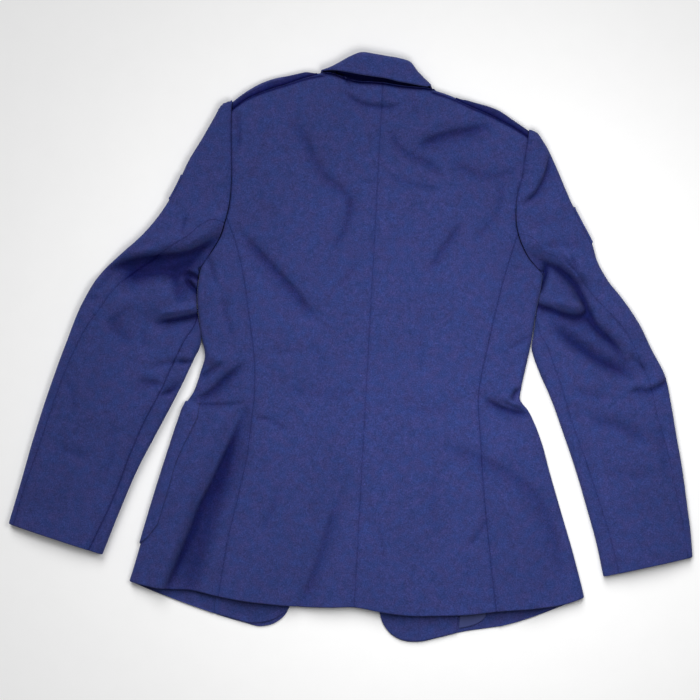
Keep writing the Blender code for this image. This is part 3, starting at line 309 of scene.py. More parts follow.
COLLAR_CROWD = 1.3               # they crowd towards the free edge
STAND_DEPTH = 7.5                # height of the collar stand's outer face over the surface
STAND_DROP = 5.0                 # how far it drops from the neck seam
STAND_BEND = 0.35                # share of its width in that bend
STAND_SPAN = (0.14, 0.86, 60)    # shares of the neck seam, and mesh lines
STAND_ROWS = (0.0, 1.0, 24)
STAND_CLEAR = 0.6
STAND_STOP = 3.8

# Lapels: their roll line and their free edge, on the fronts.
LAPELS = table(
    "down left_roll left_edge right_roll right_edge",
    (66, -59, -112, 31, 82),
    (84, -53, -127, 23, 99),
    (130, -39, -104, 2, 72),
    (178, -26, -66, -18, 36),
    (214, -26, -40, -34, -2),
)
LAPEL_ROWS = {"left": 4, "right": 5}        # the left lapel ends under the right front

STRAP_LAP = 5.0                  # reach of a shoulder strap on the back
# Shoulder straps: their reach on the front and how far they bow out past the shoulder's edge, by
# the share of the shoulder from the armhole.
STRAPS = {
    "left": table(
        "share drop bow",
        (0.0, 42, 5), (0.17, 42, 6.2), (0.37, 42, 9.4), (0.58, 42, 9.2), (0.7, 29, 7),
        (0.79, 20, 5.5), (0.96, 10, 3),
    ),
    "right": table(
        "share drop bow",
        (0.0, 42, 4.5), (0.2, 42, 6.2), (0.36, 42, 8.6), (0.56, 42, 5.5), (0.66, 32, 3.2),
        (0.73, 22, 1.5), (0.78, 12, 0.5),
    ),
}
STRAP_BOW_REACH = 22.0
STRAP_TAPER = 0.12               # share of the shoulder over which it tapers beside the collar
STRAP_BLUNT = 5                  # and how much faster at the armhole
STRAP_END = 0.55                 # share of its height that the tapered end keeps
STRAP_PLACES = 90
STRAP_CLOTH = 0.9
# painted shade: how much darker the strap's upper side is
STRAP_PAINTED_SHADE = 0.55
BADGE_LAP = 5.0                  # a sleeve patch's reach on the under and the upper side
BADGE_DROP = 52.0
BADGE_DOWN = {"left": (128.0, 160.0), "right": (142.0, 186.0)}
BADGE_CLOTH = 1.2
BADGE_GAP = 0.6

# The left pocket: its reach on the back, from the side fold, and its far edge on the front.
POCKET_LEFT = table(
    "down lap far",
    (417, 17, -96), (436, 22, -96), (459, 20, -97), (488, 16, -100), (514, 14, -104),
    (543, 15, -110), (580, 15, -120), (606, 15, -134),
)
POCKET_TOP = 417.0
# The right pocket: its two sides, on the front only.
POCKET_RIGHT = table(
    "down near far",
    (417, 66, 204), (450, 65, 210), (500, 65, 211), (550, 65, 212), (572, 68, 209),
    (588, 76, 201), (599, 94, 183),
)
FACING_TOP = 655.0
FACING_SIDE = {"left": -179.0, "right": 134.0}
LINING_SHIFT = 2.0               # the lining's edges stand this far to the right at their top
LINING_FOOT = path((135, 688), (147, 685), (158, 680.5), (167, 673), (171, 663))

# ---- looks only: everything below is finer than the solids

WOOL_THICK = 1.2                 # one layer of wool
HEM_THICK = 2.2                  # turned-up hems and faced edges
HEM_TURN = 34.0                  # depth of a turned-up hem
FINE_PITCH = 2.3                 # spacing of the mesh on the upper layer
HIDDEN_PITCH = 5.0               # the same on the side that lies on the surface
SMALL_PITCH = 1.6                # on patches and straps
COLLAR_PITCH = 1.8               # and on the collar
SEAM_SIDE = 0.15                 # cloth stops this far from a seam's line
# Mesh lines beside a seam, beside a free edge and where the cloth rounds over.
AT_SEAM = tuple(SEAM_SIDE + step for step in (0.0, 0.5, 1.2, 2.4, 4.2))
AT_EDGE = (0.0, 0.35, 0.9, 1.8, 3.2)
AT_FOLD = tuple(EDGE_ROUND * (1 - np.cos((0.03, 0.2, 0.42, 0.66, 0.9, 1.14, 1.36, np.pi / 2))))
SEAM_SINK = 1.25                 # the cloth dips into a seam, where the seam is deepest
SEAM_SINK_RUN = 1.1
SEAM_HOLLOW = 0.5                # and the wider pressed hollow beside it
SEAM_HOLLOW_RUN = 5.0
# How deep each seam lies, as shares of the deepest.
SEAMS = {
    "left": {"princess": 0.36, "armhole": 0.75, "hind": 0.34, "fore": 0.6, "front": 0.5},
    "right": {"princess": 0.42, "armhole": 0.6, "hind": 0.2, "fore": 0.28, "front": 0.5},
}
CENTRE_SEAM = 0.3
NECK_SEAM = 1.0
NECK_BLEND = 0.05                # share of the top edge over which the neck seam starts
ARMHOLE_FOOT = 186.0             # where the armhole seam leaves the back panel
ARMHOLE_BLEND = 12.0
EDGE_SINK = 0.9                  # rounding of a free edge
EDGE_SINK_RUN = 1.7
RIM_BULGE = 0.36                 # share of the thickness that an edge's middle stands out
STEP_RUN = 0.55                  # half widths over which a fold's step falls
EDGE_STITCH = 6.0                # row of stitches beside the edges
STRAP_STITCH = 4.0
STITCH_SINK = 0.32
STITCH_WIDTH = 0.8
FRONT_STITCH = 0.6               # share of that depth on the fronts
PRESSED_EDGE = 8.0               # pressed line inside the facing's edge
FRONT_HEM_THICK = 1.8            # a hem that a facing lies on
HEM_STEP = 1.5                   # run-out of a turned-up hem's thickness
COLLAR_THICK = 1.7
STAND_THICK = 1.4
FACING_THICK = 1.2
LAID_THICK = CLOTH - 0.2         # lapels and pockets
BADGE_THICK = 0.9
BADGE_BORDER = 2.0               # its edge stands higher than its middle
BADGE_STEP = 0.45
BADGE_STEP_RUN = 0.8
INNER_CLEAR = 0.3                # the inner face stays this far over the surface
LAID_INSIDE = (0.01, 0.99, 60)   # mesh lines of a facing, across
LAID_INSIDE_DOWN = (0.0, 0.985, 30)
HEAD_ROLL_END = 190.0            # where a sleeve head's fullness has run out
HEAD_ROLL_RUN = 60.0
HEAD_ROLL = 1.3                  # height, place and half width of its roll beside the seam
HEAD_ROLL_AT = 8.0
HEAD_ROLL_WIDTH = 7.0
GATHER = 0.32                    # height, spacing, wander and reach of its gathers
GATHER_PITCH = 12.5
GATHER_WANDER = 2.5
GATHER_REACH = 13.0
GATHER_NOISE = (30.0, 40.0)
GATHER_SEED = 5
BODY_LENGTH = 670.0
SLEEVE_LENGTH = 600.0
COLLAR_LENGTH = 330.0
POCKET_FOOT_DOWN = 604.0
POCKET_CORNER = table("away rise", (0, 30), (4, 21), (8, 12), (14, 4.5), (22, 1), (32, 0), (999, 0))
BUTTON_PROFILE = table(
    "radius depth",
    (0.0, 0.05), (0.3, 0.06), (0.55, 0.1), (0.74, 0.2), (0.84, 0.3), (0.88, 0.27), (0.93, 0.2),
    (0.98, 0.3), (1.0, 0.5), (0.99, 0.7), (0.93, 0.85), (0.9, 1.0), (0.5, 1.0), (0.0, 1.0),
)
CREASE_DEPTH = 2.5
CREASE_REACH = 6.0               # half widths at which a crease has run out
HIGH_REACH = 1.1                 # half widths in which the high side of a step runs out
LOW_REACH = 2.2
TAPER = 0.32                     # share of a crease's length over which it fades at each end
LAYER_GAP = 2.0                  # how near a crease brings the outer faces of the two layers
LAYER_STOP = 0.8
HOLLOW_START = 0.8               # depth of a crease from which painted shade darkens the cloth
HOLLOW_DEEP = 7.0                # and at which it is darkest
HOLLOW_PAINTED_SHADE = 0.86
PRESSED_DEEP = 2.3               # depth of a seam or edge at which its painted shade is darkest
CREASE_PLACES = 6                # places on a crease's curve for each of its steps
INSIDE_PAINTED_SHADE = -0.6               # painted shade on the inner faces
INSIDE_END = -306.0              # which ends above the hem, in model Y
INSIDE_RUN = 25.0
NECK_SHADE_RUN = 3.0             # painted shade under the collar
STRAP_SHADE_RUN = 2.0            # and beside the shoulder straps

# Creases: half width, height of the trough or ridge, height of the step, side that is high,
# and the line that it follows.
BODY_CREASES = (
    (7, -1.7, 3.1, "left", (-143, 390), (-158, 432), (-168, 458), (-180, 489), (-193, 522), (-205, 547),
     (-216, 581), (-227, 612), (-240, 648), (-251, 680), (-260, 709)),
    (14, -1.35, 0, "left", (-156, 434), (-169, 491), (-185, 549), (-200, 608), (-214, 671), (-221, 722)),
    (4, -0.7, 0.3, "left", (-244, 615), (-255, 640), (-262, 663)),
    (7, -1.3, 2, "up", (-232, 417), (-213, 410), (-197, 399), (-183, 384), (-166, 369), (-151, 358)),
    (6, -1.1, 1.5, "up", (-221, 390), (-205, 377), (-190, 367), (-178, 361)),
    (9, 1.4, 0, "up", (-208, 337), (-194, 359), (-174, 363)),
    (2.2, -0.9, 0.5, "up", (-232, 418), (-212, 419), (-189, 418), (-144, 413)),
    (3.5, -0.8, 0.4, "up", (-148, 434), (-131, 432), (-113, 438), (-92, 451)),
    (9, -0.9, 1.1, "left", (-21, 499), (-31, 532), (-40, 561), (-48, 595), (-57, 627), (-71, 670),
     (-81, 702)),
    (6, -0.7, 0.5, "left", (-103, 506), (-109, 537), (-118, 560), (-129, 592)),
    (5, -0.5, 0.4, "left", (23, 553), (30, 593), (40, 634)),
    (5, -0.7, 0.5, "up", (164, 537), (149, 569), (132, 588)),
    (3, 0.6, 0, "up", (133, 572), (127, 588), (123, 605)),
    (4, -0.5, 0.3, "left", (135, 590), (141, 615), (144, 638)),
    (13, -0.7, 1, "up", (51, 438), (118, 454), (180, 477), (221, 503), (248, 543), (262, 588),
     (271, 631), (278, 672)),
    (5, -1.5, 2.1, "up", (143, 388), (159, 394), (175, 401), (190, 405), (206, 407), (221, 412)),
    (2.6, -1, 0.8, "up", (171, 392), (187, 399), (206, 405)),
    (3, -1.7, 1.2, "left", (197, 374), (188, 385), (186, 397)),
    (9, -0.9, 1, "up", (-132, 30), (-118, 49), (-99, 62), (-87, 82), (-77, 100), (-63, 119), (-41, 136),
     (-26, 155), (-2, 174)),
    (6, -0.9, 0.8, "left", (-35, 133), (-37, 164), (-40, 184), (-50, 204), (-62, 224)),
    (4, -0.6, 0.5, "left", (-19, 219), (-33, 247), (-51, 267)),
    (8, -1.3, 1.7, "up", (-184, 183), (-165, 200), (-142, 221), (-119, 244), (-94, 269), (-75, 291),
     (-51, 317)),
    (3.5, -1.2, 0.5, "left", (-186, 38), (-181, 66), (-180, 105)),
    (4.5, -1.1, 1.4, "up", (-56, 1), (-41, 15), (-26, 23), (-5, 26), (15, 25), (35, 16)),
    (3, -0.9, 0.5, "up", (-55, -18), (-44, 0), (-34, 12)),
    (9, -1.4, 2, "up", (32, 91), (51, 72), (71, 60), (91, 53), (112, 48), (132, 43), (157, 36)),
    (7, -0.9, 1, "up", (1, 41), (19, 64), (30, 79), (46, 88), (66, 96), (80, 108), (95, 124)),
    (5, -0.7, 0.3, "left", (34, 11), (43, 31), (48, 49)),
    (5, -0.6, 0.6, "up", (2, 99), (23, 117), (41, 122), (67, 126), (98, 128)),
    (3, -0.6, 0.4, "up", (-25, 124), (-12, 125), (3, 125)),
    (9, -0.8, 0.7, "up", (80, 83), (111, 99), (143, 106), (165, 101), (190, 79)),
    (6, -0.7, 0.5, "left", (157, 109), (155, 138), (152, 171)),
    (6, -0.7, 0.5, "left", (153, 151), (139, 174), (125, 196)),
    (7, -1, 1, "left", (115, 158), (96, 187), (84, 206), (75, 223), (60, 245)),
    (4, -0.6, 0.4, "up", (169, 214), (187, 224), (206, 219)),
    (5, -0.7, 0.6, "up", (176, 329), (192, 316), (213, 305)),
    (5, -0.9, 0.5, "left", (-216, 222), (-207, 245), (-198, 272)),
    (7, -0.7, 0.4, "left", (-193, 264), (-186, 305), (-168, 348)),
    (14, 0.7, 0, "up", (-150, 90), (-129, 153), (-95, 215)),
    (12, -0.6, 0.3, "up", (-124, 384), (-59, 396), (7, 387)),
    (12, -0.5, 0.3, "up", (23, 404), (83, 408), (141, 390)),
    (10, -0.5, 0.3, "left", (-89, 318), (-64, 355), (-56, 400)),
    (9, -0.5, 0.3, "left", (69, 271), (63, 322), (73, 381)),
    (8, -0.5, 0.3, "up", (-136, 340), (-100, 344), (-73, 332)),
    (10, -0.5, 0.3, "left", (96, 464), (89, 526), (101, 602)),
)
SLEEVE_CREASES = {}
SLEEVE_CREASES["left"] = (
    (8, -2.2, 3.2, "up", (-358, 268), (-344, 256), (-324, 245), (-299, 237), (-273, 233), (-248, 228),
     (-233, 223), (-220, 215), (-207, 207), (-188, 197), (-178, 192)),
    (15, -2.3, 0, "up", (-332, 275), (-285, 252), (-247, 242), (-214, 227)),
    (11, -1, 1.6, "left", (-271, 228), (-258, 255), (-251, 278), (-243, 306)),
    (5, 1.4, 0, "up", (-266, 230), (-248, 223), (-233, 217), (-218, 206), (-196, 194)),
    (8, -0.8, 0.8, "up", (-311, 235), (-298, 219), (-283, 216), (-263, 223)),
    (4, -1, 0.8, "left", (-240, 175), (-245, 193), (-249, 211)),
    (4, -0.9, 0.8, "up", (-295, 262), (-285, 250), (-272, 247), (-254, 249)),
    (3.6, -2.6, 1.6, "up", (-243, 253), (-228, 255), (-213, 262)),
    (3.8, -2.6, 1.6, "up", (-240, 257), (-228, 269), (-209, 288)),
    (5, -1.8, 2.9, "up", (-286, 323), (-263, 314), (-246, 310), (-231, 306), (-210, 300), (-185, 292)),
    (4.5, 1.5, 0, "up", (-274, 310), (-251, 303), (-234, 299), (-213, 294)),
    (4, -0.8, 0.6, "up", (-354, 286), (-343, 270), (-332, 255)),
    (4, -0.7, 0.5, "up", (-366, 296), (-353, 289), (-339, 292)),
    (5, -0.6, 0.5, "up", (-340, 322), (-320, 311), (-304, 292)),
    (12, -0.9, 0.3, "up", (-338, 313), (-314, 333), (-290, 347)),
    (5, -0.7, 0.6, "left", (-295, 324), (-288, 339), (-291, 359)),
    (4, -0.8, 0.6, "up", (-285, 381), (-266, 371), (-243, 366), (-222, 363)),
    (2.6, -1.1, 0.9, "up", (-245, 366), (-231, 365), (-216, 362)),
    (4, -1, 0.9, "up", (-268, 412), (-252, 405), (-237, 395)),
    (7, -0.6, 0.4, "up", (-307, 405), (-279, 397), (-254, 396)),
    (5, -0.9, 0.4, "up", (-294, 391), (-256, 396)),
    (5, -1.1, 0.5, "up", (-260, 411), (-236, 387)),
    (8, -0.7, 0.3, "right", (-383, 385), (-372, 416), (-362, 448)),
    (8, -0.7, 0.3, "up", (-398, 480), (-370, 488), (-336, 493)),
    (9, -0.6, 0.2, "left", (-330, 430), (-320, 480), (-336, 540)),
)
SLEEVE_CREASES["right"] = (
    (4, -1.2, 2.1, "left", (215, 63), (215, 83), (212, 101), (206, 116), (199, 128), (188, 137),
     (172, 146)),
    (2.2, -0.8, 0.2, "up", (182, 67), (198, 63)),
    (2.2, -0.8, 0.2, "up", (184, 76), (201, 74)),
    (2.2, -0.8, 0.2, "up", (183, 93), (199, 90)),
    (2.4, -0.8, 0.2, "up", (183, 103), (203, 100)),
    (7, -0.6, 0.4, "up", (188, 174), (217, 162), (259, 160)),
    (8, -0.7, 0.5, "up", (199, 195), (237, 188), (278, 189)),
    (6, -2.4, 3.2, "up", (186, 195), (200, 203), (213, 210), (226, 215), (239, 220), (251, 229),
     (262, 239), (270, 252), (276, 264), (282, 278), (290, 290), (301, 300), (313, 310), (323, 323),
     (335, 338), (349, 353)),
    (3, -0.9, 0.6, "up", (227, 198), (246, 211), (260, 224), (272, 239), (281, 254)),
    (3.5, -1.3, 1, "up", (251, 202), (258, 214), (266, 224)),
    (4.5, -2, 1.8, "right", (223, 211), (222, 229), (219, 244), (214, 263)),
    (5, -2, 3, "up", (179, 256), (198, 262), (216, 268), (232, 272), (247, 277), (263, 279), (280, 274),
     (295, 266)),
    (5, 1.8, 0, "up", (231, 260), (251, 267), (272, 267)),
    (9, -2.2, 0.9, "up", (224, 280), (249, 304), (273, 320), (296, 334), (323, 345), (357, 361)),
    (5, -1.4, 1.6, "up", (327, 379), (346, 369), (360, 369), (371, 364), (381, 356), (392, 344)),
    (3, -0.5, 0.3, "up", (298, 271), (317, 289), (336, 307)),
    (5, -0.9, 0.6, "up", (329, 322), (348, 337), (361, 349)),
    (8, -0.6, 0.4, "up", (250, 372), (286, 377), (320, 384)),
    (12, 1, 0, "up", (292, 246), (322, 280), (346, 309)),
    (9, -1.0, 0.4, "up", (270, 410), (321, 416), (378, 443)),
    (9, -0.6, 0.2, "up", (300, 470), (340, 480), (380, 474)),
    (8, -0.7, 0.2, "right", (372, 400), (384, 450), (392, 500)),
    (10, 0.9, 0.0, "up", (228, 120), (232, 150), (240, 180)),
)
# On the side that lies on the surface the cloth can only stand up from it.
FRONT_CREASES = (
    (9, 1.3, 0.0, "up", (-160, 250), (-130, 300), (-60, 330)),
    (8, 1.2, 0.0, "up", (150, 260), (110, 310), (40, 338)),
    (7, 1.0, 0.0, "up", (-150, 380), (-100, 372), (-50, 380)),
    (7, 1.1, 0.0, "up", (140, 372), (90, 378), (40, 370)),
    (10, 1.0, 0.0, "up", (-64, 520), (-84, 600), (-110, 660)),
    (10, 1.0, 0.0, "up", (30, 500), (44, 590), (80, 670)),
    (8, 1.0, 0.0, "up", (150, 120), (120, 170), (90, 230)),
    (8, 1.0, 0.0, "up", (-150, 110), (-130, 170), (-112, 230)),
    (9, 1.6, 0.0, "up", (-200, 215), (-260, 245), (-330, 262)),
    (9, 1.5, 0.0, "up", (-230, 300), (-275, 312), (-320, 306)),
    (9, 1.6, 0.0, "up", (200, 215), (260, 262), (330, 330)),
    (8, 1.2, 0.0, "up", (250, 350), (300, 362), (350, 350)),
    (8, 0.9, 0.0, "up", (-300, 420), (-330, 470), (-372, 500)),
    (8, 0.9, 0.0, "up", (290, 440), (330, 470), (380, 480)),
)
TOWARDS = {"left": (-1, 0), "right": (1, 0), "up": (0, -1), "down": (0, 1)}

# Unevenness of the cloth: spacing and height of each size of it.
RIPPLES = ((70.0, 0.8), (26.0, 0.42), (11.0, 0.16))
RIPPLE_TURN = (0.6, 1.1)         # direction of the first size, and the turn to each next one
RIPPLE_STRETCH = 1.4
RIPPLE_SHIFT = (31.7, 17.3)
RIPPLE_SEED = 11
LATTICE = 128
LOWER_RIPPLE = 0.25              # share of it on the lower layer
COLLAR_RIPPLE = 0.35

# Colours of the wool's fibres, the lining, the painted shade in deep folds and the surface.
WOOL_DARK = (0.0113, 0.0178, 0.091)
WOOL_BLUE = (0.0215, 0.0325, 0.144)
WOOL_LIGHT = (0.0456, 0.0542, 0.219)
LINING_BLUE = (0.032, 0.044, 0.155)
PAINTED_DEEP_SHADE = (0.2, 0.17, 0.39)        # painted shade: the wool's colour in the depth of a fold
FELT_SHADE = 0.75
FELT_WEAVE = 0.4

# Noises of the wool, by scale, detail and roughness, and the factors that they tint it by.
FIBRES = (640.0, 4.0, 0.7)
CAST_NOISE = (70.0, 3.0)
CASTS = ((0.36, (0.84, 1.02, 1.04, 1.0)), (0.64, (1.18, 0.98, 0.97, 1.0)))
LINT_NOISE = (310.0, 1.0)
LINT = (0.80, 0.84, 1.0, 2.2)         # range of that noise and the factors at its ends
NOISE_RANGE = (0.3, 0.7)              # range of the other noises
BLOTCHES = ((8.0, 2.0, 0.95, 1.05), (120.0, 3.0, 0.88, 1.12))
YARNS = (((1300.0, 210.0, 1.0), 0.90, 1.10), ((190.0, 1250.0, 1.0), 0.92, 1.08))
WOOL_GLOSS = {"Sheen Weight": (0.0, 0.10), "Specular IOR Level": (0.03, 0.22)}    # in the deepest painted shade, and on plain cloth
TWILL = {"Scale": 320.0, "Distortion": 1.5, "Detail": 2.0, "Detail Scale": 2.0}
TWILL_TURN = 0.95                # radians
WOOL_BUMP = 0.35
WOOL_RELIEF = 0.0004             # metres
FLOOR_WHITE = 0.93
FLOOR_SIZE = 6.0
FLOOR_Z = -0.0005

# The view, in metres: straight down, the garment turned a little.
VIEW_ROLL = 3.14
VIEW_CENTRE = (-0.0141, -0.0059)
VIEW_WIDTH = 0.8932
VIEW_PLANE = 0.010
LENS = 85.0
SENSOR = 36.0
CLIP_END = 20.0
SKY = 0.27
WINDOW_FROM = (-0.2, 0.97, 0.78)         # a wide window, low behind the collar
WINDOW_LIGHT = 2.1
WINDOW_SPREAD = 36.0             # degrees
FILL_PLACE = (0.12, -0.03, 0.62)         # a weak lamp overhead, facing straight down
FILL_SIZE = 0.4
FILL_LIGHT = 2.85


def smooth(at, xs, ys):
    """Value at each place of a smooth curve through the table's points."""
    xs = np.asarray(xs, float)
    ys = np.asarray(ys, float)
    steps = np.diff(xs)
    slopes = np.diff(ys) / steps
    inner = (slopes[:-1] * steps[1:] + slopes[1:] * steps[:-1]) / (steps[1:] + steps[:-1])
    tangents = np.concatenate([slopes[:1], inner, slopes[-1:]])
    k = np.clip(np.searchsorted(xs, at, side="right") - 1, 0, len(steps) - 1)
    t = (at - xs[k]) / steps[k]
    h = steps[k]
    return (
        (1 + 2 * t) * (1 - t) ** 2 * ys[k]
        + t * (1 - t) ** 2 * h * tangents[k]
        + t * t * (3 - 2 * t) * ys[k + 1]
        + t * t * (t - 1) * h * tangents[k + 1]
    )


def read(columns, name, down):
    """A table's column, as a smooth function of how far down."""
    return smooth(np.asarray(down, float), columns["down"], columns[name])


def apart(first, second):
    """Distance between places."""
    return np.linalg.norm(first - second, axis=-1)


def ease(t):
    """A soft step from 0 to 1."""
    t = np.clip(t, 0.0, 1.0)
    return t * t * (3 - 2 * t)


def shares_along(xs, downs):
    """Each row's share of the length along a line."""
    runs = np.concatenate([[0.0], np.cumsum(np.hypot(np.diff(xs), np.diff(downs)))])
    return runs / runs[-1]


def curve(columns, first=0.0, last=1.0):
    """A curve through a table's x and down, as a function of the share along it."""
    shares = shares_along(columns["x"], columns["down"])

    def at(t):
        share = first + np.asarray(t, float) * (last - first)
        return np.stack([smooth(share, shares, columns[name]) for name in ("x", "down")], -1)

    return at


def share_at(columns, down):
    """The share along a line at which it is this far down."""
    return float(np.interp(down, columns["down"], shares_along(columns["x"], columns["down"])))


def column_curve(columns, name, top, foot):
    """A seam given as x for each down, from one down to another, as a function of the share."""

    def at(t):
        down = top + np.asarray(t, float) * (foot - top)
        return np.stack([read(columns, name, down), down], -1)

    return at


def seam_between(columns, name, first, last):
    """A seam given as x for each down, from one place to another."""
    return pinned(column_curve(columns, name, first[1], last[1]), first, last)


def joined(first, second, share):
    """Two curves end to end; the first takes the given share."""

    def at(t):
        t = np.asarray(t, float)
        early = first(np.clip(t / share, 0.0, 1.0))
        late = second(np.clip((t - share) / (1 - share), 0.0, 1.0))
        return np.where((t < share)[..., None], early, late)

    return at


def clear_of(base, gap):
    """A curve beside another one, a gap to its side."""

    def at(t):
        t = np.asarray(t, float)
        run = base(np.minimum(t + ALONG_STEP, 1.0)) - base(np.maximum(t - ALONG_STEP, 0.0))
        beside = np.stack([run[..., 1], -run[..., 0]], -1)
        return base(t) + gap * beside / np.linalg.norm(run, axis=-1, keepdims=True)

    return at


def hem_curve(columns, x_first, x_last):
    """The stretch of a hem between two places across."""
    order = np.argsort(columns["x"])
    xs = columns["x"][order]
    downs = columns["down"][order]

    def at(t):
        x = x_first + np.asarray(t, float) * (x_last - x_first)
        return np.stack([x, smooth(x, xs, downs)], -1)

    return at


def patch(left, right, top, foot):
    """Plan places between four curves, as a function of the shares across and along."""

    def at(across, along):
        s = np.asarray(across, float)[..., None]
        v = np.asarray(along, float)[..., None]
        sides = (1 - s) * left(along) + s * right(along)
        ends = (1 - v) * top(across) + v * foot(across)
        corners = (1 - v) * ((1 - s) * top(0.0) + s * top(1.0))
        corners = corners + v * ((1 - s) * foot(0.0) + s * foot(1.0))
        return sides + ends - corners

    return at


def width_of(plan, v):
    """Width of a patch at a share along it."""
    return apart(plan(1.0, v), plan(0.0, v))


def line_distance(places, line):
    """Distance in plan from each place to a line of points."""
    start = line[:-1]
    run = line[1:] - start
    reach = places[..., None, :] - start
    share = np.clip((reach * run).sum(-1) / (run * run).sum(-1), 0.0, 1.0)
    return np.linalg.norm(reach - share[..., None] * run, axis=-1).min(-1)


def pad_distance(places, k):
    """Distance in plan from each place to a pad's box."""
    beyond = []
    for axis, name in enumerate(("x", "down")):
        low = PADS[name + "_low"][k] - places[..., axis]
        high = places[..., axis] - PADS[name + "_high"][k]
        beyond.append(np.maximum(np.maximum(low, high), 0.0))
    return np.hypot(*beyond)


def floor_height(places):
    """Height of the lower layer's outer face over the surface."""
    height = np.zeros(places.shape[:-1])
    for k, rise in enumerate(PADS["rise"]):
        lift = rise * ease(1 - pad_distance(places, k) / PAD_RAMP)
        height = np.maximum(height, lift)
    return height


def fold_height(places):
    """Height that the folds add to the upper layer."""
    height = np.zeros(places.shape[:-1])
    t = np.linspace(0, 1, FOLD_STEPS)[:, None]
    for k, rise in enumerate(FOLDS["height"]):
        ends = [
            np.array([FOLDS["x_" + name][k], FOLDS["down_" + name][k]])
            for name in ("start", "middle", "end")
        ]
        control = 2 * ends[1] - (ends[0] + ends[2]) / 2
        line = (1 - t) ** 2 * ends[0] + 2 * t * (1 - t) * control + t * t * ends[2]
        away = line_distance(places, line) / FOLDS["half_width"][k]
        height = height + rise * np.exp(-away * away)
    return height


def edge_distance(places, edges):
    """Distance in plan from each place to the nearest fold edge."""
    return np.min([line_distance(places, edge) for edge in edges], axis=0)


def line_places(line):
    """A crease's line as close places on a smooth curve."""
    points = np.array(line, float)
    count = CREASE_PLACES * (len(points) - 1) + 1
    return curve({"x": points[:, 0], "down": points[:, 1]})(np.linspace(0, 1, count))


def beside_line(places, line):
    """Signed distance from each place to a line, positive to its right, and the share along it."""
    start = line[:-1]
    run = line[1:] - start
    square = (run * run).sum(-1)
    reach = places[:, None, :] - start
    share = np.clip((reach * run).sum(-1) / square, 0.0, 1.0)
    offset = reach - share[..., None] * run
    distance = np.linalg.norm(offset, axis=-1)
    nearest = distance.argmin(-1)
    rows = np.arange(len(places))
    side = run[nearest, 0] * reach[rows, nearest, 1] - run[nearest, 1] * reach[rows, nearest, 0]
    along = (nearest + share[rows, nearest]) / len(run)
    return distance[rows, nearest] * np.where(side < 0, -1.0, 1.0), along


def crease_height(places, creases):
    """Height that the creases add: soft troughs and ridges, and steps where the cloth folds over."""
    flat = places.reshape(-1, 2)
    height = np.zeros(len(flat))
    for half_width, trough, step, high_side, *line in creases:
        line = line_places(line)
        reach = CREASE_REACH * half_width
        inside = np.all((flat > line.min(0) - reach) & (flat < line.max(0) + reach), axis=1)
        near = np.flatnonzero(inside)
        if not len(near):
            continue
        middle = len(line) // 2
        run = line[middle + 1] - line[middle - 1]
        toward = TOWARDS[high_side]
        high = 1.0 if run[0] * toward[1] - run[1] * toward[0] > 0 else -1.0
        away, along = beside_line(flat[near], line)
        fade = ease(along / TAPER) * ease((1 - along) / TAPER)
        dip = CREASE_DEPTH * trough * np.exp(-((away / half_width) ** 2))
        rise = away * high / np.hypot(away, STEP_RUN * half_width)
        run_out = np.where(rise > 0, HIGH_REACH, LOW_REACH) * half_width
        rise = rise * np.exp(-np.abs(away) / run_out)
        height[near] += fade * (dip + CREASE_DEPTH * step * rise)
    return height.reshape(places.shape[:-1])


def lattice_noise(x, y, seed):
    """Smooth noise from -1 to 1 with about one bump a unit."""
    rng = np.random.default_rng(seed)
    values = rng.uniform(-1, 1, (LATTICE, LATTICE))
    i = np.floor(x).astype(int)
    j = np.floor(y).astype(int)
    s = ease(x - i)
    t = ease(y - j)

    def row(j):
        here = values[i % LATTICE, j % LATTICE]
        return here * (1 - s) + values[(i + 1) % LATTICE, j % LATTICE] * s

    return row(j) * (1 - t) + row(j + 1) * t


def ripple(places):
    """The cloth's small unevenness at each place."""
    x = places[..., 0]
    down = places[..., 1]
    total = np.zeros(x.shape)
    for k, (spacing, height) in enumerate(RIPPLES):
        turn_by = RIPPLE_TURN[0] + RIPPLE_TURN[1] * k
        across = (x * np.cos(turn_by) + down * np.sin(turn_by)) / spacing
        along = (down * np.cos(turn_by) - x * np.sin(turn_by)) / (RIPPLE_STRETCH * spacing)
        across = across + RIPPLE_SHIFT[0] * k
        along = along + RIPPLE_SHIFT[1] * k
        total += height * lattice_noise(across, along, RIPPLE_SEED + k)
    return total


def heights(places, edges, upper, lift=None, creases=()):
    """Height of the outer face at each place: upper says which layer, edges are its fold edges."""
    away = edge_distance(places, edges)
    low = floor_height(places) + crease_height(places, FRONT_CREASES)
    low = low + LOWER_RIPPLE * np.abs(ripple(places))
    if lift:
        low = low + lift(places)
    high = read(LOFT, "height", places[..., 1])
    high = high + FULLNESS * ease(away / FULLNESS_RUN) + fold_height(places)
    high = high + crease_height(places, creases) + ripple(places)
    high = low + LAYER_GAP + LAYER_STOP * np.logaddexp(0, (high - low - LAYER_GAP) / LAYER_STOP)
    middle = (low + high) / 2
    inward = 1 - np.clip(away / EDGE_ROUND, 0.0, 1.0)
    rounding = np.sqrt(1 - inward * inward)
    return np.where(upper, middle + (high - middle) * rounding, middle - (middle - low) * rounding)


def grid_normals(points, upper):
    """Unit normals of a grid of points, pointing out of the garment."""
    along = np.gradient(points, axis=0, edge_order=2)
    across = np.gradient(points, axis=1, edge_order=2)
    normals = np.cross(along, across)
    sense = np.where(upper, normals[..., 2], -normals[..., 2]).sum()
    return normals * np.sign(sense) / np.linalg.norm(normals, axis=-1, keepdims=True)


def to_model(places, z):
    """Model places, in millimetres, of plan places at heights."""
    return np.stack([places[..., 0] - ORIGIN_X, ORIGIN_DOWN - places[..., 1], z], -1)


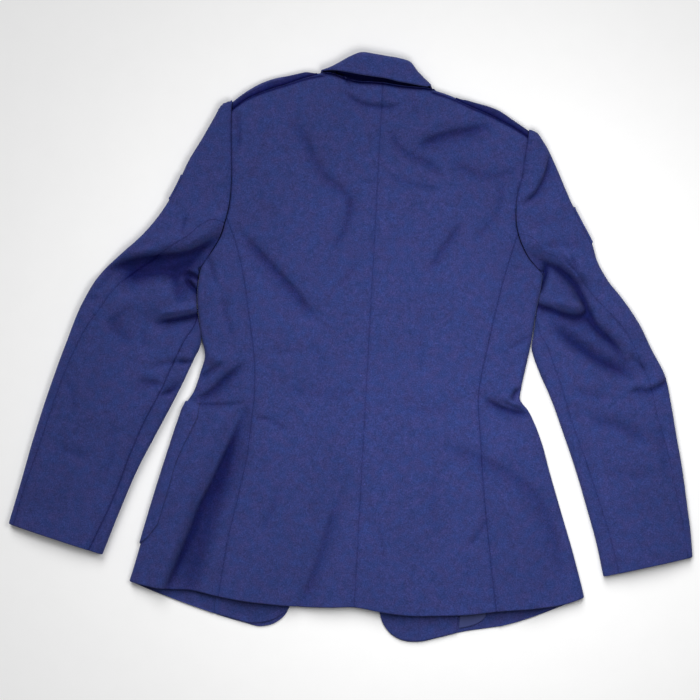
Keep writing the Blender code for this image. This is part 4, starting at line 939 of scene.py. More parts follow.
def turn(around, reach, start_reach=0.0):
    """Section coordinate to a share across and a layer.

    0 to 1 runs over the upper layer, 1 to 2 round the far fold edge, 2 to 3 back over the lower
    layer and 3 to 4, the same as -1 to 0, round the near fold edge. A reach is the rounding's
    share of the section's width.
    """
    around = np.mod(around, WHOLE_TURN)
    leg = np.floor(around)
    part = around - leg
    flat = start_reach + part * (1 - reach - start_reach)
    back = 1 - reach - part * (1 - reach - start_reach)
    angle = np.pi / 2 * (1 - 2 * part)
    far = 1 - reach * (1 - np.cos(angle))
    near = start_reach * (1 - np.cos(angle))
    share = np.select([leg == 0, leg == 1, leg == 2], [flat, far, back], near)
    upper = np.select([leg == 0, leg == 1, leg == 2], [True, part < 0.5, False], part >= 0.5)
    return share, upper


def body_half(side):
    """The plan patches and fold edges of the left or right half of the body."""
    armhole = ARMHOLE[side]
    front_armhole = FRONT_ARMHOLE[side]
    shoulder = curve(SHOULDER[side])
    neck = curve(NECK[side])
    back_cut = share_at(armhole, BACK_SEAM_TOP)
    front_cut = share_at(front_armhole, FRONT_SEAM_TOP)

    back_end, side_end = HEM_ENDS[side]
    hem = hem_curve(HEM, back_end, side_end)
    back_hem = hem_curve(HEM, back_end, 0.0)
    front_foot = hem_curve(FRONT_HEM[side], FRONT_SEAM_FOOT[side], side_end)
    edge_foot = curve(FRONT_HEM[side], front_hem_start(side), 1.0)
    princess = seam_between(BODY, "princess_" + side, curve(armhole)(back_cut), hem(0.0))
    side_edge = seam_between(BODY, "side_" + side, curve(armhole)(1.0), hem(1.0))
    seam = seam_between(FRONT_SEAM, side, curve(front_armhole)(front_cut), front_foot(0.0))
    centre = path((0, neck(1.0)[1]), *((0, down) for down in CENTRE_SEAM_DOWN), back_hem(1.0))
    edge = column_curve(FRONT_EDGE, side, FRONT_EDGE["down"][0], edge_foot(1.0)[1])
    edge = pinned(edge, shoulder(1.0), edge_foot(1.0))

    t = np.linspace(0, 1, BODY_EDGE_PLACES)
    return {
        "back": patch(
            joined(curve(armhole, 0.0, back_cut), princess, HEAD_SHARE),
            curve(centre),
            joined(shoulder, neck, SHOULDER_SHARE),
            back_hem,
        ),
        "side_upper": patch(princess, side_edge, curve(armhole, back_cut, 1.0), hem),
        "side_lower": patch(seam, side_edge, curve(front_armhole, front_cut, 1.0), front_foot),
        "front": patch(
            joined(curve(front_armhole, 0.0, front_cut), seam, HEAD_SHARE), edge, shoulder, edge_foot
        ),
        "edges": [shoulder(t), side_edge(t)],
        "shoulder": shoulder,
    }


def front_hem_start(side):
    """Share of the front hem's curve at the front seam."""
    return shares_along(FRONT_HEM[side]["x"], FRONT_HEM[side]["down"])[FRONT_HEM_SEAM[side]]


def pinned(base, first, last):
    """A curve eased onto two end places."""

    def at(t):
        t = np.asarray(t, float)
        from_first = (1 - t)[..., None] ** PIN_POWER * (first - base(0.0))
        from_last = t[..., None] ** PIN_POWER * (last - base(1.0))
        return base(t) + from_first + from_last

    return at


def side_panel_places(half, around, v):
    """Plan places of a side panel's sections, from the princess seam to the front seam."""
    upper_width, lower_width = (width_of(half[name], v) for name in ("side_upper", "side_lower"))
    share, upper = turn(around, EDGE_ROUND / np.where(around < 1.5, upper_width, lower_width))
    on_upper = half["side_upper"](share, v)
    on_lower = half["side_lower"](share, v)
    return np.where(upper[..., None], on_upper, on_lower), upper


def over_right_front(places):
    """How far the left front is lifted where it lies over the right one."""
    past = places[..., 0] - read(FRONT_EDGE, "right", places[..., 1])
    return (CLOTH + LAY_GAP) * ease((past + OVERLAP_RUN) / (OVERLAP_RUN - OVERLAP_MARGIN))


def edge_turn(arc):
    """Distance from a fold edge, and whether on the upper layer, for a length of cloth round it."""
    half = EDGE_ARC / 2
    angle = np.clip(arc / half, -1, 1) * np.pi / 2
    beyond = np.maximum(np.abs(arc) - half, 0.0)
    return EDGE_ROUND * (1 - np.cos(angle)) + beyond, arc > 0


def arc_coordinate(arc, width):
    """Section coordinate for a length of cloth from the middle of the far fold edge."""
    half = EDGE_ARC / 2
    flat = width - 2 * EDGE_ROUND
    over = 1 - (arc - half) / flat
    under = 2 - (arc + half) / flat
    return np.where(arc > half, over, np.where(arc < -half, under, 1.5 - arc / EDGE_ARC))


def locate(plan, places):
    """Shares across and along at which a patch reaches each place."""
    shares = np.linspace(0, 1, LOCATE_PLACES)
    s, v = np.meshgrid(shares, shares)
    grid = plan(s, v)
    found = []
    for place in places:
        nearest = apart(grid, place).argmin()
        at = np.array([s.flat[nearest], v.flat[nearest]])
        for _ in range(LOCATE_ROUNDS):
            here = plan(at[0], at[1])
            slope_s = (plan(at[0] + LOCATE_STEP, at[1]) - here) / LOCATE_STEP
            slope_v = (plan(at[0], at[1] + LOCATE_STEP) - here) / LOCATE_STEP
            at = at + np.linalg.solve(np.stack([slope_s, slope_v], -1), place - here)
        found.append(at)
    return np.array(found).T


def places_of(columns):
    """A table's x and down as places."""
    return np.stack([columns["x"], columns["down"]], -1)


def sleeve_patch(outer, inner, head, sense):
    """Plan places of a sleeve's layer: its sections start on the bowed armhole."""

    def at(across, along):
        s = np.asarray(across, float)[..., None]
        v = np.asarray(along, float)[..., None]
        bow = head(across) - (1 - s) * head(0.0) - s * head(1.0)
        rest = np.clip(1 - v, 0.0, 1.0)
        kept = rest ** (HEAD_FADE + CORNER_FADE * s ** 4)
        swing = UNDERARM_SPREAD * (1 - kept) * s * s * (1 - s) * rest ** 2
        return (1 - s) * outer(along) + s * inner(along) + bow * kept + swing * np.array([sense, 0.0])

    return at


def sleeve_form(side):
    """The plan patches, fold edges and seams of one sleeve."""
    tables = SLEEVE[side]
    sense = -1.0 if side == "left" else 1.0
    head = clear_of(curve(ARMHOLE[side]), sense * ARMHOLE_GAP)
    front_head = clear_of(curve(FRONT_ARMHOLE[side]), sense * ARMHOLE_GAP)
    outer = curve(tables["outer"])
    inner = pinned(curve(tables["inner"]), head(1.0), places_of(tables["inner"])[-1])
    upper = sleeve_patch(outer, inner, head, sense)
    lower = sleeve_patch(outer, inner, front_head, sense)

    def width(v):
        return width_of(upper, v)

    hind_s, hind_v = locate(upper, places_of(tables["hind"]))
    hind_v[0] = 0.0
    hind_v[-1] = 1.0
    fore_s, fore_v = locate(upper, places_of(tables["fore"]))
    fore_v[-1] = 1.0
    arcs = EDGE_ARC / 2 + (1 - fore_s) * width(fore_v) - EDGE_ROUND
    arcs = np.concatenate([[FORE_SEAM_START], arcs])
    fore_v = np.concatenate([[0.0], fore_v])

    def hind(v):
        reach = EDGE_ROUND / width(v)
        return (smooth(v, hind_v, hind_s) - reach) / (1 - 2 * reach)

    def fore(v):
        return arc_coordinate(smooth(v, fore_v, arcs), width(v))

    def section(around, v):
        reach = EDGE_ROUND / width(v)
        share, on_upper = turn(around, reach, reach)
        places = np.where(on_upper[..., None], upper(share, v), lower(share, v))
        return places, on_upper

    t = np.linspace(0, 1, SLEEVE_EDGE_PLACES)
    return {"section": section, "hind": hind, "fore": fore, "outer": outer,
            "edges": [outer(t), inner(t)], "width": width}


def straight(first, last):
    """A straight line between two places."""
    first = np.asarray(first, float)
    last = np.asarray(last, float)
    return lambda t: first + np.asarray(t, float)[..., None] * (last - first)


def along_collar(name, t):
    """A column of the collar's table, at a share along its roll."""
    return smooth(t, shares_along(COLLAR["roll_x"], COLLAR["roll_down"]), COLLAR[name])


def collar_line(name):
    """One of the collar's lines, as a function of the share along its roll."""
    return lambda t: np.stack([along_collar(name + axis, t) for axis in ("_x", "_down")], -1)


def backwards(base):
    """A curve run from its end to its start."""
    return lambda t: base(1 - np.asarray(t, float))


def seam_sink(away, depth):
    """How far the cloth dips towards a seam: depth is 1 where it is pulled in most."""
    groove = SEAM_SINK * np.exp(-((away / SEAM_SINK_RUN) ** 2))
    return depth * (groove + SEAM_HOLLOW * np.exp(-((away / SEAM_HOLLOW_RUN) ** 2)))


def edge_sink(away):
    """How far a free edge rounds down."""
    inward = 1 - np.clip(away / EDGE_SINK_RUN, 0.0, 1.0)
    return EDGE_SINK * (1 - np.sqrt(1 - inward * inward))


def stitch_sink(away, inset):
    """The line that a row of stitches presses in beside an edge."""
    return STITCH_SINK * np.exp(-(((away - inset) / STITCH_WIDTH) ** 2))


def spread(lengths, pitch, first, last):
    """Places along lines of these lengths: even, and closer together at both ends."""
    lengths = np.atleast_1d(np.asarray(lengths, float))
    count = max(3, int(np.ceil((lengths.mean() - first[-1] - last[-1]) / pitch)) + 1)
    share = np.linspace(0, 1, count)[1:-1]
    start = np.tile(first, (len(lengths), 1))
    end = lengths[:, None] - np.array(last)[::-1]
    middle = start[:, -1:] + (end[:, :1] - start[:, -1:]) * share
    return np.concatenate([start, middle, end], axis=1)


def rows_of(values, count):
    """A column of values, repeated across a grid."""
    return np.repeat(values[:, None], count, axis=1)


def mesh_object(name, corners, quads, uvs, painted_shade, finish):
    """A mesh object from arrays, in millimetres."""
    mesh = bpy.data.meshes.new(name)
    mesh.vertices.add(len(corners))
    mesh.vertices.foreach_set("co", (corners * MM).astype(np.float32).ravel())
    mesh.loops.add(quads.size)
    mesh.loops.foreach_set("vertex_index", quads.astype(np.int32).ravel())
    mesh.polygons.add(len(quads))
    mesh.polygons.foreach_set("loop_start", np.arange(0, quads.size, 4, dtype=np.int32))
    mesh.update(calc_edges=True)
    layer = mesh.uv_layers.new(name="cloth")
    layer.uv.foreach_set("vector", uvs[quads.ravel()].astype(np.float32).ravel())
    attribute = mesh.attributes.new("painted_shade", "FLOAT", "POINT")
    attribute.data.foreach_set("value", painted_shade.astype(np.float32))
    mesh.shade_smooth()
    mesh.materials.append(finish)
    return placed(name, mesh)


def grid_quads(rows, columns, start=0):
    """The quads of a grid of corners."""
    first = (np.arange(rows - 1)[:, None] * columns + np.arange(columns - 1)).ravel() + start
    return np.stack([first, first + 1, first + columns + 1, first + columns], -1)


def rim_of(rows, columns):
    """Corners round a grid's edge, and for each the corner just inside it."""
    ring = [(0, j) for j in range(columns)]
    ring += [(i, columns - 1) for i in range(1, rows)]
    ring += [(rows - 1, j) for j in range(columns - 2, -1, -1)]
    ring += [(i, 0) for i in range(rows - 2, 0, -1)]
    ring = np.array(ring)
    inner = np.stack([np.clip(ring[:, 0], 1, rows - 2), np.clip(ring[:, 1], 1, columns - 2)], -1)
    return ring @ [columns, 1], inner @ [columns, 1]


def shell(name, points, normals, finish, thick=WOOL_THICK, painted_shade=None):
    """A closed shell of cloth behind a grid of points, its edges rounded."""
    rows, columns = points.shape[:2]
    count = rows * columns
    thick = np.broadcast_to(thick, (rows, columns))[..., None]
    outer = points.reshape(-1, 3).copy()
    inner = (points - thick * normals).reshape(-1, 3)
    outer[:, 2] = np.maximum(outer[:, 2], 0.0)
    inner[:, 2] = np.maximum(inner[:, 2], INNER_CLEAR)
    ring, beside = rim_of(rows, columns)
    middle = (outer + inner) / 2
    stand = middle[ring] - middle[beside]
    stand = stand / np.linalg.norm(stand, axis=-1, keepdims=True)
    bulge = middle[ring] + RIM_BULGE * thick.reshape(-1, 1)[ring] * stand
    bulge[:, 2] = np.maximum(bulge[:, 2], 0.0)
    corners = np.concatenate([outer, inner, bulge])

    front = grid_quads(rows, columns)
    a, b, c = outer[front[:, 0]], outer[front[:, 1]], outer[front[:, 2]]
    facing = (np.cross(b - a, c - a) * normals.reshape(-1, 3)[front[:, 0]]).sum()
    if facing < 0:
        front = front[:, ::-1]
    back = front[:, ::-1] + count
    onward = np.roll(np.arange(len(ring)), -1)
    middle_ring = 2 * count + np.arange(len(ring))
    upper_band = np.stack([ring[onward], ring, middle_ring, middle_ring[onward]], -1)
    lower_band = np.stack([middle_ring[onward], middle_ring, ring + count, ring[onward] + count], -1)
    bands = np.concatenate([upper_band, lower_band])
    if facing < 0:
        bands = bands[:, ::-1]
    quads = np.concatenate([front, back, bands])

    across = np.linalg.norm(np.diff(points, axis=1, prepend=points[:, :1]), axis=-1).cumsum(1)
    along = np.linalg.norm(np.diff(points, axis=0, prepend=points[:1]), axis=-1).cumsum(0)
    uv = np.stack([across, along], -1).reshape(-1, 2) * MM
    painted_shade = np.zeros(count) if painted_shade is None else np.asarray(painted_shade, float).ravel()
    # painted shade on the inner faces, fading out towards the hem
    inside = INSIDE_PAINTED_SHADE * ease((inner[:, 1] - INSIDE_END) / INSIDE_RUN)
    return mesh_object(
        name, corners, quads, np.concatenate([uv, uv, uv[ring]]),
        np.concatenate([painted_shade, inside, painted_shade[ring]]), finish,
    )


def sew(node, finish, points, normals, thick=WOOL_THICK, painted_shade=None):
    """A piece of cloth that stands for a solid, which it hides."""
    kind, _, side = node.rpartition("_")
    name = kind + "_cloth_" + side if side in ("left", "right") else node + "_cloth"
    piece = shell(name, points, normals, finish, thick, painted_shade)
    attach(piece, "root")
    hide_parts(node)


def hem_thickness(away, edge_thick=HEM_THICK):
    """Thickness of cloth that is turned up along its edge."""
    return WOOL_THICK + (edge_thick - WOOL_THICK) * ease((HEM_TURN - away) / HEM_STEP)


def cloth_points(places, edges, upper, lift=None, creases=(), sink=0.0):
    """Points of the outer face at plan places, and its normals; sink presses the cloth in."""
    points = to_model(places, heights(places, edges, upper, lift, creases))
    normals = grid_normals(points, upper)
    return points - np.asarray(sink)[..., None] * normals, normals


def painted_press_shade(sink):
    """Painted shade where the cloth is pressed in, at seams, stitches and edges: -1 is darkest."""
    return -np.clip(sink / PRESSED_DEEP, 0.0, 1.0)


def painted_cloth_shade(places, upper, creases, sink):
    """The same with painted shade in the hollows of the creases, which little light reaches."""
    depth = (-crease_height(places, creases) - HOLLOW_START) / (HOLLOW_DEEP - HOLLOW_START)
    hollow = HOLLOW_PAINTED_SHADE * np.clip(depth, 0.0, 1.0) * upper
    return np.maximum(painted_press_shade(sink) - hollow, -1.0)


def add_panel(node, wool, places, edges, upper, creases, sink, thick, rise=0.0, shade=0.0):
    """One panel of the garment: rise lifts the cloth, and shade adds painted shade to it."""
    points, normals = cloth_points(places, edges, upper, None, creases, sink - rise)
    painted_shade = np.maximum(painted_cloth_shade(places, upper, creases, sink) - shade, -1.0)
    sew(node, wool, points, normals, thick, painted_shade)


def patch_grid(plan, pitch, length, rows_first, rows_last, columns_first, columns_last):
    """Shares across and along a patch, and the distances in millimetres to its four sides."""
    down = spread([length], pitch, rows_first, rows_last)[0]
    width = width_of(plan, down / length)
    across = spread(width, pitch, columns_first, columns_last)
    down = rows_of(down, across.shape[1])
    width = width[:, None]
    return across / width, down / length, across, width - across, down, length - down


def add_back(side, half, wool):
    """A back panel, from the armhole and the princess seam to the centre-back seam."""
    plan = half["back"]
    s, v, from_side, from_centre, from_top, from_hem = patch_grid(
        plan, FINE_PITCH, BODY_LENGTH, AT_FOLD, AT_EDGE, AT_SEAM, AT_SEAM
    )
    neck = ease((s - SHOULDER_SHARE) / NECK_BLEND)
    seams = SEAMS[side]
    lower = ease((v * BODY_LENGTH - ARMHOLE_FOOT) / ARMHOLE_BLEND)
    side_seam = seams["armhole"] + (seams["princess"] - seams["armhole"]) * lower
    sink = seam_sink(from_side, side_seam) + seam_sink(from_centre, CENTRE_SEAM)
    sink = sink + neck * seam_sink(from_top, NECK_SEAM) + edge_sink(from_hem)
    # painted shade under the collar, and along the straps' edge on the shoulders
    shade = np.exp(-((from_top / NECK_SHADE_RUN) ** 2)) * neck
    shade = shade + np.exp(-(((from_top - STRAP_LAP) / STRAP_SHADE_RUN) ** 2)) * (1 - neck)
    add_panel("back_" + side, wool, plan(s, v), half["edges"],
              np.ones(s.shape, bool), BODY_CREASES, sink, hem_thickness(from_hem), shade=shade)


def add_front(side, half, wool):
    """A front, on the surface, from the armhole and the front seam to its free edge."""
    plan = half["front"]
    s, v, from_side, from_edge, _, from_hem = patch_grid(
        plan, HIDDEN_PITCH, BODY_LENGTH, AT_FOLD, AT_EDGE, AT_SEAM, AT_EDGE
    )
    sink = seam_sink(from_side, SEAMS[side]["front"])
    sink = sink + FRONT_STITCH * stitch_sink(np.minimum(from_edge, from_hem), EDGE_STITCH)
    upper = np.zeros(s.shape, bool)
    lift = over_right_front if side == "left" else None
    points, normals = cloth_points(plan(s, v), half["edges"], upper, lift, (), sink)
    thick = hem_thickness(np.minimum(from_hem, from_edge), FRONT_HEM_THICK)
    sew("front_" + side, wool, points, normals, thick, painted_press_shade(sink))


def section_grid(first, last, legs, base, pitch, steps_first, steps_last):
    """Section coordinates from first to last on each row, and the distances to both ends.

    The legs are the lengths of cloth between whole coordinates, counted from base.
    """
    ends = np.concatenate([np.zeros((len(legs), 1)), np.cumsum(legs, axis=1)], axis=1)
    knots = base + np.arange(ends.shape[1])
    start = np.array([np.interp(a, knots, e) for a, e in zip(first, ends)])
    stop = np.array([np.interp(a, knots, e) for a, e in zip(last, ends)])
    across = spread(np.abs(stop - start), pitch, steps_first, steps_last)
    place = start[:, None] + np.sign(stop - start)[:, None] * across
    around = np.stack([np.interp(p, e, knots) for p, e in zip(place, ends)])
    return around, across, np.abs(stop - start)[:, None] - across


def add_side(side, half, wool):
    """A side panel, from the princess seam round the side fold to the front seam."""
    length = BODY_LENGTH * (1 - HEAD_SHARE)
    from_top = spread([length], FINE_PITCH, AT_SEAM, AT_EDGE)[0]
    v = from_top / length
    upper_width, lower_width = (width_of(half[name], v) for name in ("side_upper", "side_lower"))
    arc = np.full(len(v), EDGE_ARC)
    legs = np.stack([upper_width - EDGE_ROUND, arc, lower_width - EDGE_ROUND], axis=1)
    ends = np.zeros(len(v)), np.full(len(v), 3.0)
    around, from_back, from_front = section_grid(*ends, legs, 0, FINE_PITCH, AT_SEAM, AT_SEAM)
    from_top = rows_of(from_top, around.shape[1])
    from_hem = length - from_top
    places, upper = side_panel_places(half, around, from_top / length)
    seams = SEAMS[side]
    sink = seam_sink(from_back, seams["princess"]) + seam_sink(from_front, seams["front"])
    sink = sink + seam_sink(from_top, seams["armhole"]) + edge_sink(from_hem)
    thick = np.where(upper, hem_thickness(from_hem), hem_thickness(from_hem, FRONT_HEM_THICK))
    add_panel("side_" + side, wool, places, half["edges"], upper, BODY_CREASES, sink, thick)


def add_sleeve(side, form, wool):
    """Top sleeve and under sleeve of one side."""
    v = spread([SLEEVE_LENGTH], FINE_PITCH, AT_SEAM, AT_EDGE)[0] / SLEEVE_LENGTH
    legs = np.stack([form["width"](v) - 2 * EDGE_ROUND, np.full(len(v), EDGE_ARC)] * 4, axis=1)
    t = np.linspace(0, 1, HEAD_PLACES)
    armholes = [curve(hole[side])(t) for hole in (ARMHOLE, FRONT_ARMHOLE)]
    fore = form["fore"](v)
    seams = SEAMS[side]
    for name, last in (("top_sleeve_", fore - WHOLE_TURN), ("under_sleeve_", fore)):
        around, from_hind, from_fore = section_grid(
            form["hind"](v), last, legs, -WHOLE_TURN, FINE_PITCH, AT_SEAM, AT_SEAM
        )
        along = rows_of(v, around.shape[1])
        places, upper = form["section"](around, along)
        head = np.where(upper, line_distance(places, armholes[0]), line_distance(places, armholes[1]))
        cuff = (1 - along) * SLEEVE_LENGTH
        sink = seam_sink(from_hind, seams["hind"]) + seam_sink(from_fore, seams["fore"])
        sink = sink + seam_sink(head, seams["armhole"]) + edge_sink(cuff)
        add_panel(name + side, wool, places, form["edges"], upper, SLEEVE_CREASES[side],
                  sink, hem_thickness(cuff), sleeve_head(places, head) * upper)


def add_badge(side, form, wool):
    """The plain patch on a sleeve."""
    t = np.linspace(0, 1, BADGE_PLACES)
    span = np.interp(BADGE_DOWN[side], form["outer"](t)[:, 1], t)
    length = BADGE_DOWN[side][1] - BADGE_DOWN[side][0]
    down = spread([length], SMALL_PITCH, AT_EDGE, AT_EDGE)[0]
    across = spread([BADGE_LAP + BADGE_DROP], SMALL_PITCH, AT_EDGE, AT_EDGE)[0]
    arc, v = np.meshgrid(BADGE_LAP - across, span[0] + (span[1] - span[0]) * down / length)
    around = 1.0 - arc_coordinate(arc, form["width"](v))
    places, upper = form["section"](around, v)
    points, normals = cloth_points(places, form["edges"], upper, None, SLEEVE_CREASES[side])
    border = np.minimum(
        np.minimum(across, across[-1] - across)[None], np.minimum(down, length - down)[:, None]
    )
    lift = BADGE_GAP + BADGE_CLOTH - BADGE_STEP * ease((border - BADGE_BORDER) / BADGE_STEP_RUN)
    points = points + (lift - edge_sink(border))[..., None] * normals
    sew("badge_" + side, wool, points, normals, BADGE_THICK)


def sleeve_head(places, head):
    """The roll and the gathers of a sleeve head beside the armhole seam."""
    down = places[..., 1]
    weight = ease((HEAD_ROLL_END - down) / HEAD_ROLL_RUN)
    roll = HEAD_ROLL * np.exp(-(((head - HEAD_ROLL_AT) / HEAD_ROLL_WIDTH) ** 2))
    wander = lattice_noise(down / GATHER_NOISE[0], head / GATHER_NOISE[1], GATHER_SEED)
    waves = np.sin(2 * np.pi * down / GATHER_PITCH + GATHER_WANDER * wander)
    return weight * (roll + GATHER * waves * np.exp(-((head / GATHER_REACH) ** 2)))


def lay_on(node, half, places, upper, press, wool, creases=()):
    """A piece of cloth on the outer face of a panel."""
    points, normals = cloth_points(places, half["edges"], upper, None, creases)
    points = points - press[..., None] * normals
    sew(node, wool, points + (LAY_GAP + CLOTH) * normals, normals, LAID_THICK)


def add_flat(node, half, shape, names, pitch, wool, from_all_sides):
    """A flat piece on the fronts, from one line of its table to another."""
    top, foot = shape["down"][[0, -1]]
    down = top + spread([foot - top], pitch, AT_EDGE, AT_EDGE)[0]
    near, far = (np.interp(down, shape["down"], shape[name]) for name in names)
    from_near = spread(np.abs(far - near), pitch, AT_EDGE, AT_EDGE)
    from_far = np.abs(far - near)[:, None] - from_near
    x = near[:, None] + np.sign(far - near)[:, None] * from_near
    down = rows_of(down, x.shape[1])
    if from_all_sides:
        border = np.minimum(np.minimum(from_near, from_far), foot - down)
    else:
        border = np.minimum(from_far, down - top)
    press = stitch_sink(border, EDGE_STITCH)
    lay_on(node, half, np.stack([x, down], -1), np.zeros(x.shape, bool), press, wool)


def add_strap(side, half, wool):
    """A shoulder strap, wrapped over the shoulder edge, its end tapered beside the collar."""
    shape = STRAPS[side]
    t = np.linspace(shape["share"][0], shape["share"][-1], STRAP_PLACES)
    start = half["shoulder"](t)
    run = np.gradient(start, axis=0)
    across = np.stack([-run[:, 1], run[:, 0]], -1)
    across = across * np.sign(across[:, 1:]) / np.linalg.norm(across, axis=-1, keepdims=True)
    length = STRAP_LAP + smooth(t, shape["share"], shape["drop"])
    from_back = spread(length, SMALL_PITCH, AT_EDGE, AT_EDGE)
    away, upper = edge_turn(STRAP_LAP - from_back)
    places = start[:, None] + away[..., None] * across[:, None]
    points = cloth_points(places, half["edges"], upper, None, BODY_CREASES)[0]
    ends = ease(np.minimum(STRAP_BLUNT * (t - t[0]), t[-1] - t) / STRAP_TAPER)[:, None]
    bow = smooth(t, shape["share"], shape["bow"])[:, None]
    bow = ends * np.sin(np.pi * np.clip(from_back / STRAP_BOW_REACH, 0, 1)) * bow
    points[..., 0] -= bow * across[:, None, 0]
    points[..., 1] += bow * across[:, None, 1]
    normals = grid_normals(points, upper)
    border = np.minimum(from_back, length[:, None] - from_back)
    press = edge_sink(border) + stitch_sink(border, STRAP_STITCH)
    stand = (LAY_GAP + CLOTH) * (STRAP_END + (1 - STRAP_END) * ends)
    points = points + (stand - press)[..., None] * normals
    # painted shade: the strap's upper side darker, darkest at its edge on the back
    depth = STRAP_PAINTED_SHADE + (1 - STRAP_PAINTED_SHADE) * np.exp(-from_back / STRAP_SHADE_RUN)
    painted_shade = np.maximum(painted_press_shade(press) - depth * upper, -1.0)
    sew("strap_" + side, wool, points, normals, STRAP_CLOTH, painted_shade)


def add_lapel(side, half, wool):
    """A lapel, folded back along the roll line on the outside of its front."""
    shape = {name: column[:LAPEL_ROWS[side]] for name, column in LAPELS.items()}
    names = side + "_roll", side + "_edge"
    add_flat("lapel_" + side, half, shape, names, HIDDEN_PITCH / 2, wool, False)


def add_left_pocket(half, wool):
    """The left patch pocket, which reaches round the side fold onto the back."""
    side = half["edges"][1]
    foot = POCKET_FOOT_DOWN
    down = spread([foot - POCKET_TOP], FINE_PITCH, AT_EDGE, AT_EDGE)[0]
    share = down / (foot - POCKET_TOP)
    fold = np.interp(POCKET_TOP + down, side[:, 1], side[:, 0])
    lap = read(POCKET_LEFT, "lap", POCKET_TOP + down)
    far = read(POCKET_LEFT, "far", POCKET_TOP + down)
    half_arc = EDGE_ARC / 2 - EDGE_ROUND
    arc_back = half_arc + lap
    width = arc_back + (half_arc + far - fold)
    from_back = spread(width, FINE_PITCH, AT_EDGE, AT_EDGE)
    from_front = width[:, None] - from_back
    corner = POCKET_CORNER
    rise = sum(np.interp(away, corner["away"], corner["rise"]) for away in (from_back, from_front))
    down = POCKET_TOP + share[:, None] * (foot - rise - POCKET_TOP)
    away, upper = edge_turn(arc_back[:, None] - from_back)
    x = np.interp(down, side[:, 1], side[:, 0]) + away
    border = np.minimum(np.minimum(from_back, from_front), foot - rise - down)
    press = edge_sink(border) + stitch_sink(border, EDGE_STITCH)
    places = np.stack([x, down], -1)
    lay_on("pocket_left", half, places, upper, press, wool, BODY_CREASES)


def add_right_pocket(half, wool):
    """The right patch pocket, on the front only."""
    names = "near", "far"
    add_flat("pocket_right", half, POCKET_RIGHT, names, HIDDEN_PITCH, wool, True)


def lay_inside(kind, side, plan, half, finish, press=None):
    """A piece of cloth on the inner face of a front, its upper side showing."""
    s, v = np.meshgrid(np.linspace(*LAID_INSIDE), np.linspace(*LAID_INSIDE_DOWN))
    places = plan(s, v)
    points, normals = cloth_points(places, half["edges"], np.zeros(s.shape, bool))
    top = points - (2 * CLOTH + LAY_GAP) * normals
    if press:
        foot = plan(np.linspace(0, 1, FOOT_PLACES), np.ones(FOOT_PLACES))
        top = top + stitch_sink(line_distance(places, foot), press)[..., None] * normals
    sew(kind + "_" + side, finish, top, -normals, FACING_THICK, None)


def add_facings(side, half, wool, lining):
    """The strip of a front's facing that shows below the back hem, and the lining beside it."""
    hem = FRONT_HEM[side]
    side_x = FACING_SIDE[side]
    edge_x = float(read(FRONT_EDGE, side, FACING_TOP))
    t = np.linspace(0, 1, LINE_PLACES)
    start = t[np.abs(curve(hem)(t)[:, 0] - side_x).argmin()]
    plan = below_line(side_x, edge_x, curve(hem, start, 1.0))
    lay_inside("facing", side, plan, half, wool, PRESSED_EDGE)
    if side == "right":
        foot = curve(LINING_FOOT)
        plan = below_line(side_x + LINING_SHIFT, foot(1.0)[0] + LINING_SHIFT, foot)
        lay_inside("lining", side, plan, half, lining)


def below_line(x_first, x_last, foot):
    """A patch from the line where the facings start to show down to its foot."""
    first = (x_first, FACING_TOP)
    last = (x_last, FACING_TOP)
    return patch(straight(first, foot(0.0)), straight(last, foot(1.0)), straight(first, last), foot)


def add_collar(wool, felt):
    """The collar: the fall on the back, the roll and the ends on the fronts; and its stand."""
    free, roll, under = (collar_line(name) for name in ("free", "roll", "under"))
    v = spread([COLLAR_LENGTH], COLLAR_PITCH, AT_EDGE, AT_EDGE)[0] / COLLAR_LENGTH
    columns = [leg + np.linspace(0, 1, count) for leg, count in enumerate(COLLAR_COLUMNS)]
    columns[0] = columns[0] ** COLLAR_CROWD
    columns = np.concatenate([columns[0]] + [later[1:] for later in columns[1:]])
    around, v = np.meshgrid(columns, v)
    free_width = apart(roll(v), free(v))
    reach = COLLAR_ROUND / np.where(around < 1.5, free_width, apart(roll(v), under(v)))
    share, upper = turn(around, np.minimum(reach, COLLAR_ROUND_SHARE))
    inner = np.where(upper[..., None], free(v), under(v))
    places = inner + share[..., None] * (roll(v) - inner)
    angle = np.clip(1.5 - around, -0.5, 0.5) * np.pi
    z = along_collar("height", v) / 2 * (1 + np.sin(angle))
    z = z + np.where(upper, COLLAR_RIPPLE * ripple(places), 0.0)
    points = to_model(places, z)
    normals = grid_normals(points, upper)
    from_free = np.where(around < 1.0, share * free_width, np.inf)
    ends = np.minimum(v, 1 - v) * COLLAR_LENGTH
    press = edge_sink(from_free) + edge_sink(ends) + stitch_sink(from_free, EDGE_STITCH)
    points = points - press[..., None] * normals
    sew("collar", wool, points, normals, COLLAR_THICK)

    neck = joined(curve(NECK["left"]), backwards(curve(NECK["right"])), 0.5)
    s, v = np.meshgrid(np.linspace(*STAND_SPAN), np.linspace(*STAND_ROWS))
    start = neck(s) - np.array([0.0, STAND_CLEAR])
    end = roll(s) + (under(s) - roll(s)) * (STAND_STOP / apart(roll(s), under(s)))[..., None]
    z = STAND_DEPTH + STAND_DROP * (1 - ease(v / STAND_BEND))
    points = to_model(start + v[..., None] * (end - start), z)
    normals = grid_normals(points, np.ones(z.shape, bool))
    # painted shade: the whole stand at the darkest, as in the gap under the collar
    stand_painted_shade = np.full(z.shape, -1.0)
    sew("collar_stand", felt, points, normals, STAND_THICK, stand_painted_shade)


